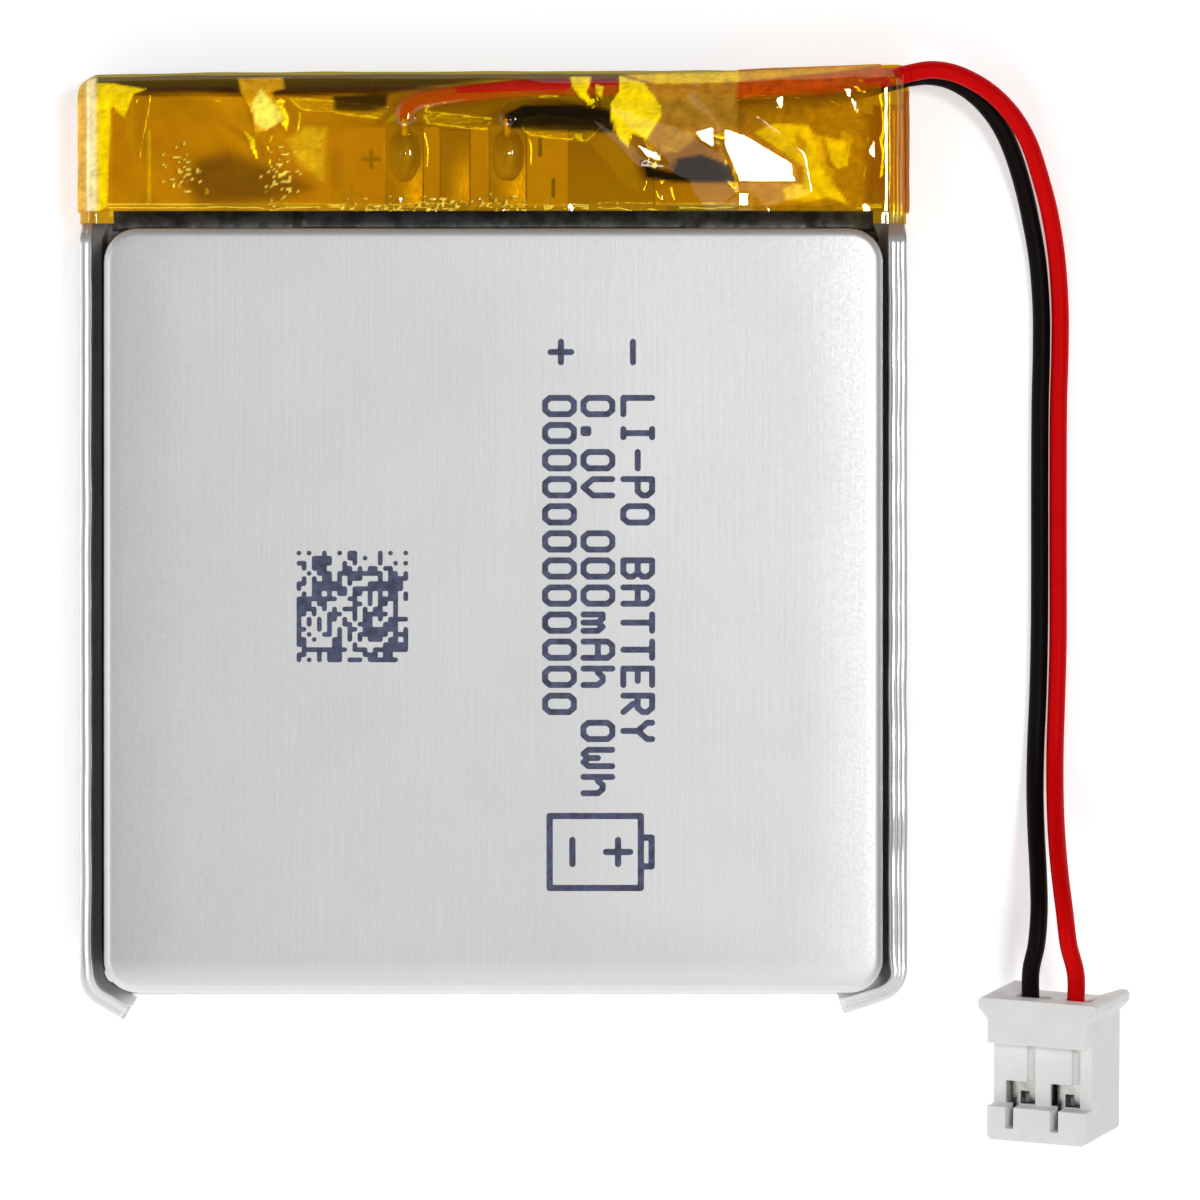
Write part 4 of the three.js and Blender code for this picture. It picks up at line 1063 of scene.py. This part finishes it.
# Flat facets of the crumpled film: a convex outline, and a height at the outline's first point.
OUTER_FACETS = (
    (((8.24, 17.06), (8.59, 16.6), (9.3, 16.2), (9.3, 17.2), (9.05, 17.29)), 5.02),
    (((9.52, 17.29), (9.52, 16.5), (10.2, 14.87), (12.7, 14.87), (12.53, 15.79), (10.56, 16.95)), 4.96),
    (((5.8, 16.6), (6.3, 15.95), (7.6, 15.5), (7.3, 15.9), (6.4, 16.45)), 4.58),
    (((10.2, 13.85), (10.75, 13.85), (10.75, 14.87), (10.2, 14.87)), 4.86),
)
INNER_FACETS = (
    (((4.7, 19.2), (5.3, 17.2), (5.8, 16.5), (6.0, 17.4), (5.9, 19.2)), 4.3),
    (((5.9, 19.0), (5.9, 17.4), (6.4, 17.2), (6.9, 18.3), (6.8, 19.2)), 4.28),
    (((3.2, 19.2), (3.9, 18.0), (4.3, 18.2), (4.45, 19.2)), 4.28),
    (((8.6, 17.0), (9.6, 16.6), (10.2, 17.2)), 4.2),
    (((11.2, 17.4), (11.0, 16.8), (12.5, 15.7), (13.1, 16.4), (12.6, 17.5)), 4.26),
    (((13.2, 17.2), (13.1, 14.2), (14.3, 14.2), (14.3, 16.8)), 4.22),
    (((12.5, 15.5), (12.0, 14.1), (13.1, 14.0), (13.1, 15.8)), 4.2),
    (((14.4, 17.3), (14.2, 15.8), (14.8, 15.4), (15.2, 16.9)), 4.16),
    (((-10.8, 19.3), (-9.9, 17.0), (-9.3, 17.0), (-9.6, 18.3), (-9.9, 19.3)), 4.09),
    (((-9.6, 19.2), (-9.2, 17.6), (-8.6, 16.9), (-8.4, 17.7), (-9.1, 19.2)), 4.09),
    (((-10.4, 16.7), (-10.0, 15.8), (-9.7, 15.9), (-9.9, 16.7)), 4.06),
    (((-16.1, 19.0), (-15.7, 17.7), (-15.4, 17.8), (-15.3, 19.1)), 4.07),
    (((-15.2, 18.9), (-14.9, 18.0), (-14.6, 18.9)), 4.07),
)
# Opaque glue and painted light in the film: most bright yellow and pale patches are painted highlights and
# reflections, the darkest are painted shade and the black lead's colour seen through, others are the glue's
# haze and the red lead's orange. Each: an outline, its colour, the share it hides, and how softly it ends.
# Colours of painted highlights (yellow and pale), of painted glints, of the glue's haze (gold), and of
# painted shade over the dark lead.
HIGHLIGHT_YELLOW, HIGHLIGHT_PALE, BLISTER_GLINT = srgb(255, 220, 4), srgb(250, 232, 160), srgb(255, 226, 80)
GOLD, DARK_LEAD_AND_SHADE = srgb(190, 136, 30), srgb(16, 10, 4)
GLUE_AND_LIGHT_PATCHES = (
    (((10.3, 18.0), (15.6, 18.4), (15.6, 13.7), (10.3, 13.7)), srgb(222, 166, 10), 0.5, 0.5),
    # painted reflections and highlights: the bands down the left edge, the W-shaped highlight and a thin
    # bright line
    (((-17.6, 19.3), (-17.0, 19.3), (-17.0, 13.7), (-17.6, 13.7)), srgb(232, 180, 40), 0.75, 0.06),
    (((-17.0, 19.2), (-16.55, 19.3), (-16.5, 13.7), (-17.0, 13.7)), HIGHLIGHT_PALE, 0.85, 0.08),
    (((-16.55, 19.05), (-15.9, 19.05), (-16.1, 13.9), (-16.5, 13.7)), HIGHLIGHT_YELLOW, 0.9, 0.06),
    (((-15.9, 19.05), (-14.5, 18.8), (-15.0, 18.6), (-15.4, 17.6), (-15.6, 17.8), (-15.9, 18.1)),
     HIGHLIGHT_YELLOW, 0.85, 0.06),
    (((-14.42, 17.1), (-14.28, 17.1), (-14.28, 14.0), (-14.42, 14.0)), HIGHLIGHT_YELLOW, 0.35, 0.05),
    # painted highlights: the fish-shaped crumple, its bright core and glints
    (((-10.64, 19.26), (-8.8, 19.3), (-8.68, 18.85), (-9.26, 18.68), (-8.68, 17.5), (-9.6, 17.0),
      (-9.95, 16.96), (-10.06, 17.9), (-10.5, 18.6)), srgb(240, 172, 14), 0.7, 0.08),
    (((-10.06, 18.2), (-9.7, 18.8), (-8.9, 17.9), (-8.8, 17.5), (-9.5, 17.1), (-9.95, 17.4)),
     srgb(255, 240, 90), 0.95, 0.06),
    (((-10.43, 17.1), (-9.95, 16.75), (-9.98, 16.3), (-10.15, 16.6)), HIGHLIGHT_YELLOW, 0.9, 0.06),
    (((-13.0, 15.0), (-12.2, 15.8), (-11.0, 16.2), (-9.9, 15.7), (-8.5, 15.2), (-7.5, 14.7),
      (-9.3, 14.1), (-12.3, 14.0)), srgb(96, 62, 8), 0.5, 0.35),
    (((-8.6, 16.7), (-7.9, 17.2), (-7.0, 17.2), (-7.1, 15.0), (-8.1, 15.6)), srgb(240, 196, 20), 0.55, 0.2),
    # painted shade, then the black lead's dark colour seen through the film
    (((-6.7, 18.5), (-4.4, 18.6), (-4.5, 18.0), (-5.2, 17.85), (-6.6, 17.9)), DARK_LEAD_AND_SHADE, 0.75, 0.08),
    (((0.5, 17.75), (1.2, 18.1), (3.3, 18.16), (5.0, 17.9), (5.0, 17.0), (2.3, 17.06), (0.7, 17.2)),
     DARK_LEAD_AND_SHADE, 0.85, 0.06),
    (((5.4, 19.4), (10.15, 19.4), (10.15, 16.9), (8.6, 16.9), (7.8, 16.2), (6.5, 16.0), (6.3, 16.8),
      (7.0, 17.7), (6.9, 18.2), (6.2, 19.0)), GOLD, 0.7, 0.1),
    (((5.5, 19.42), (10.1, 19.55), (17.2, 19.98), (15.8, 19.75), (13.6, 19.45), (10.1, 19.1), (6.9, 19.0)),
     srgb(240, 196, 10), 0.9, 0.06),
    (((10.2, 19.1), (13.6, 19.45), (16.4, 19.85), (16.4, 19.35), (13.6, 18.8), (10.2, 18.4)),
     srgb(206, 88, 4), 0.7, 0.08),
    # painted highlights: the yellow blobs among the crumples
    (((3.2, 19.33), (4.07, 19.33), (4.03, 19.04), (3.9, 18.67), (4.2, 18.04), (3.6, 18.46), (3.28, 18.9)),
     HIGHLIGHT_YELLOW, 0.95, 0.05),
    (((4.25, 19.0), (4.6, 18.9), (4.5, 18.4), (4.3, 18.6)), HIGHLIGHT_YELLOW, 0.9, 0.05),
    (((5.24, 19.4), (6.28, 19.04), (6.97, 18.1), (7.03, 17.7), (6.39, 16.7), (5.74, 16.96),
      (5.64, 16.3), (5.24, 16.7), (4.89, 17.64), (4.89, 18.2), (5.24, 18.68)), HIGHLIGHT_YELLOW, 0.95, 0.05),
    # painted shade: the black patch among the crumples
    (((7.7, 15.9), (8.7, 16.05), (9.87, 15.6), (10.16, 14.92), (7.55, 14.95), (6.4, 15.1),
      (6.16, 15.8), (6.86, 15.5), (7.5, 15.3)), DARK_LEAD_AND_SHADE, 0.96, 0.06),
    # painted highlights on the right's crumples
    (((10.85, 16.96), (11.71, 17.35), (13.1, 17.29), (13.51, 16.6), (13.57, 15.79), (14.37, 14.63),
      (14.84, 13.93), (13.91, 14.29), (13.22, 14.11), (12.18, 14.17), (12.06, 14.63), (12.9, 14.87),
      (12.9, 15.55), (11.71, 16.4)), HIGHLIGHT_YELLOW, 0.95, 0.06),
    (((12.6, 16.9), (13.1, 16.7), (13.0, 16.1), (12.6, 16.2)), srgb(190, 130, 10), 0.6, 0.12),
    (((13.8, 16.83), (14.73, 16.6), (14.73, 15.67), (14.38, 15.44), (14.09, 15.79)), HIGHLIGHT_YELLOW, 0.85, 0.06),
)
# Where the glue is full of small blisters, drawn as painted glints, as (x, y, half-width, half-length).
BLISTERED_GLINTING = ((-2.1, 13.95, 4.6, 0.55), (-8.8, 15.3, 0.9, 1.5), (-13.0, 15.5, 0.9, 1.2))
# Solder mounds, as (x, y, half-width, half-length, top).
MOUNDS = ((-3.7, 16.1, 0.68, 1.15, 4.13), (0.6, 16.1, 0.68, 1.15, 4.13))
HEAD_END = ((-17.4, 19.12), (-16.6, 19.5), (-12, 19.6), (9.8, 19.68), (17.4, 19.98))


def head_end_y(x):
    """Where the wrapped head ends: clipped at the left corner, rising over the leads at the right."""
    for (x0, y0), (x1, y1) in zip(HEAD_END, HEAD_END[1:]):
        if x <= x1:
            return y0 + (y1 - y0) * max(x - x0, 0) / (x1 - x0)
    return HEAD_END[-1][1]


def support(x, y):
    """The height of what lies under the film, which falls away beside the leads and the solder."""
    best = BESIDE_BOARD
    for route in (RED_HELD, BLACK_HELD):
        for (x0, y0, z0), (x1, y1, z1) in zip(route, route[1:]):
            away, t = from_line(x, y, x0, y0, x1, y1)
            best = max(best, z0 + t * (z1 - z0) + WIRE_RADIUS - 0.5 * max(away - 0.2, 0))
    for cx, cy, half_x, half_y, top in MOUNDS:
        best = max(best, top - 0.28 * math.hypot((x - cx) / half_x, (y - cy) / half_y))
    return best


def facet_height(x, y, facets):
    """The highest of the facets at a point. Round each one the film falls away."""
    best = 0.0
    for outline, height in facets:
        outside = 0.0
        for (ax, ay), (bx, by) in zip(outline, outline[1:] + outline[:1]):
            across = (bx - ax) * (y - ay) - (by - ay) * (x - ax)
            outside = max(outside, -across / math.hypot(bx - ax, by - ay))
        x0, y0 = outline[0]
        plane = height + MIRROR_SLOPE[0] * (x - x0) + MIRROR_SLOPE[1] * (y - y0)
        best = max(best, plane - FACET_WALL * outside)
    return best


def pleats(x, y, size, slope, seed):
    """The upper envelope of tilted planes, one for each cell of a jittered grid."""
    column, row = math.floor(x / size), math.floor(y / size)
    best = -math.inf
    for i in range(column - 1, column + 2):
        for j in range(row - 1, row + 2):
            seat = noise.cell_vector(Vector((i + 0.5, j + 0.5, seed)))
            tilt = noise.cell_vector(Vector((i + 0.5, j + 0.5, seed + 50)))
            dx, dy = x - (i + seat.x) * size, y - (j + seat.y) * size
            plane = (1.6 * tilt.x - 0.8) * dx + (1.6 * tilt.y - 0.8) * dy
            bow = 1.3 / size * (dx * dx + dy * dy)
            best = max(best, slope * (0.5 * size * seat.z + plane - bow))
    return best


def within(x, begins, ends):
    return smoothstep(*begins, x) * (1 - smoothstep(*ends, x))


def crumple(x, y, seed, wide_share):
    """Creased relief of one film, strongest on the right, weaker at the left crumple and elsewhere."""
    amount = 0.1 + 0.9 * max(within(x, *CRUMPLED_RIGHT), 0.8 * within(x, *CRUMPLED_LEFT))
    wide = pleats(x, y, 1.7, 0.14, seed) - pleats(x, y, 1.4, 0.12, seed + 1)
    fine = pleats(x, y, 0.55, 0.13, seed + 2)
    beads = smoothstep(0.05, 0.35, wave(x * 0.5, y * 0.9, seed))
    foot = (1 - smoothstep(14.2, 14.7, y)) * within(x, *BUBBLED_FOOT)
    return wide_share * amount * wide + (0.4 * amount * beads + 0.8 * foot) * fine


def inner_height(x, y):
    low = support(x, y) + 0.02
    foot = 0.14 * (1 - smoothstep(INNER_LOW.y + 0.5, INNER_LOW.y + 0.95, y))
    free = max(low + 0.03, INNER_TOP - 0.32) + crumple(x, y, 31, 0.6)
    return min(max(low, free, facet_height(x, y, INNER_FACETS)), outer_base(x, y) - OVER_INNER) - foot


def outer_base(x, y):
    """The outer film's calm surface, stretched higher over the leads on the right."""
    return max(support(x, y) + 0.1, OUTER_TOP - 0.06 + 0.22 * smoothstep(0.5, 3.0, x))


def outer_height(x, y):
    free = outer_base(x, y) + crumple(x, y, 5, 0.2)
    return max(inner_height(x, y) + OVER_INNER, free, facet_height(x, y, OUTER_FACETS))


def lap_height(x, y):
    return outer_height(x, y) + UNDER_LAP


def film_sock(name, low, high, top, height_at, inset, seed, from_x=-math.inf):
    """The five closed sides of a wrap as one sheet, rounded at its edges and crumpled in front."""
    half, foot, end, r = high.x, low.y, high.y, HEAD_ROUNDING
    columns, rows, floors = round(2 * half / FILM_STEP), round((end - foot) / FILM_STEP), FILM_FLOORS
    xs, ys, zs = steps(-half, half, columns), steps(foot, end, rows), steps(low.z, top, floors)
    vertices, index, faces = [], {}, []

    def vertex(i, j, k):
        if (i, j, k) in index:
            return index[i, j, k]
        p = Vector((xs[i], ys[j], zs[k]))
        core = (min(max(p.x, -half + r), half - r), min(p.y, end - r), min(max(p.z, low.z + r), top - r))
        out = p - Vector(core)
        # Nearly square corners in plan, round edges in height.
        out /= math.hypot((abs(out.x) ** 6 + abs(out.y) ** 6) ** (1 / 6), out.z)
        q = Vector(core) + out * r
        q.y = foot + (q.y - foot) * (head_end_y(q.x) - inset - foot) / (end - foot)
        front = smoothstep(0.7, 0.97, out.normalized().z)
        drift = 0.03 * wave(q.x * 0.5, q.y * 0.8, q.z * 0.9 + seed)
        q += out * (drift * (1 - front) - 0.02)
        if front:
            q.z += front * (height_at(q.x, q.y) - top)
        index[i, j, k] = len(vertices)
        vertices.append(q)
        return index[i, j, k]

    for first, second, corner in (
        (columns, rows, lambda a, b: (a, b, floors)),
        (columns, rows, lambda a, b: (columns - a, b, 0)),
        (columns, floors, lambda a, b: (columns - a, rows, b)),
        (rows, floors, lambda a, b: (columns, a, b)),
        (rows, floors, lambda a, b: (0, rows - a, b)),
    ):
        for a, b in itertools.product(range(first), range(second)):
            quad = [corner(a, b), corner(a + 1, b), corner(a + 1, b + 1), corner(a, b + 1)]
            if min(xs[i] for i, _, _ in quad) >= from_x:
                faces.append(tuple(vertex(*c) for c in quad))
    made = new_object(name, vertices, faces)
    trim_film(made.data)
    glue_and_painted_light = made.data.attributes.new("glue_and_painted_light", "FLOAT_COLOR", "POINT")
    glue_and_painted_light.data.foreach_set("color", [0.0] * (4 * len(made.data.vertices)))
    return made


def trim_film(mesh):
    """Opens the film where the leads come out, and cuts it short where it would touch the pouch."""
    with editing(mesh) as bm:
        doomed = []
        for face in bm.faces:
            c = face.calc_center_median() / MM
            lead_way = all(LEAD_WAY[0][n] < c[n] < LEAD_WAY[1][n] for n in range(3))
            back = c.y < BACK_TRIM_Y and c.z < BACK_TRIM_Z
            under_outer = c.y < OUTER_LOW.y + 0.04 and abs(c.x) < SIDE_STRIP_X
            if lead_way or back or under_outer:
                doomed.append(face)
        bmesh.ops.delete(bm, geom=doomed, context="FACES")


def covered(x, y, outline, soft):
    """How far a point lies inside an outline, as a share that rises over its soft edge."""
    xs, ys = zip(*outline)
    if not (min(xs) - soft < x < max(xs) + soft and min(ys) - soft < y < max(ys) + soft):
        return 0.0
    nearest, inside = math.inf, False
    for (ax, ay), (bx, by) in zip(outline, outline[1:] + outline[:1]):
        nearest = min(nearest, from_line(x, y, ax, ay, bx, by)[0])
        if (ay > y) != (by > y) and x < ax + (y - ay) * (bx - ax) / (by - ay):
            inside = not inside
    return smoothstep(-soft, soft, nearest if inside else -nearest)


def glue_and_light_at(x, y):
    """The colour of the opaque glue and painted light at a point of the film, and the share it hides."""
    patches = [(covered(x, y, outline, soft) * amount, tone) for outline, tone, amount, soft in GLUE_AND_LIGHT_PATCHES]
    blister = wave(x * 5, y * 7, 8)
    # painted glints: bright specks where the glue blisters
    for cx, cy, half_x, half_y in BLISTERED_GLINTING:
        near = 1 - math.hypot((x - cx) / half_x, (y - cy) / half_y)
        if near > 0:
            patches.append((smoothstep(0.4, 0.5, blister + 0.35 * near), BLISTER_GLINT))
    colour, share = Vector((0, 0, 0)), 0.0
    for cover, tone in patches:
        if cover:
            total = cover + share * (1 - cover)
            colour = colour.lerp(Vector(tone[:3]), cover / total)
            share = total
    grain = wave(x * 2.4, y * 2.4, 3) + wave(x * 5, y * 11, 5)
    return (*(colour * (1 + 0.35 * grain)), share)


def spread_glue_and_light(piece):
    """Gives each point of the film's front its colour of glue and painted light."""
    for vertex, entry in zip(piece.data.vertices, piece.data.attributes["glue_and_painted_light"].data):
        x, y, z = vertex.co / MM
        if z > GLUE_AND_LIGHT_LOW_Z:
            entry.color = glue_and_light_at(x, y)


def add_tape():
    outer = film_sock("outer_tape", OUTER_LOW, OUTER_HIGH, OUTER_TOP, outer_height, 0.03, 1)
    spread_glue_and_light(outer)
    show(outer, "amber_tape", "outer_tape_wrap")
    inner = film_sock("inner_tape", INNER_LOW, INNER_HIGH, INNER_TOP, inner_height, 0.14, 21)
    show(inner, "amber_tape", "inner_tape_wrap", look="inner film")
    lap = film_sock("tape_end_lap", OUTER_LOW, OUTER_HIGH, OUTER_TOP + UNDER_LAP, lap_height, 0, 1, LAP_X)
    show(lap, "amber_tape")


# ---- Everything ----
add_camera()
dress_cad_nodes()
add_connector()
add_leads()
add_studio()
add_cup()
add_cover()
add_seam("left_folded_seam", "left_side_seam", 1, 0.51, LEFT_FOLDS, LEFT_EAR, 2)
add_seam("right_folded_seam", "right_side_seam", -1, 0.8, RIGHT_FOLDS, RIGHT_EAR, 9)
add_print()
add_board()
add_solder()
add_nickel_strips()
add_tape()
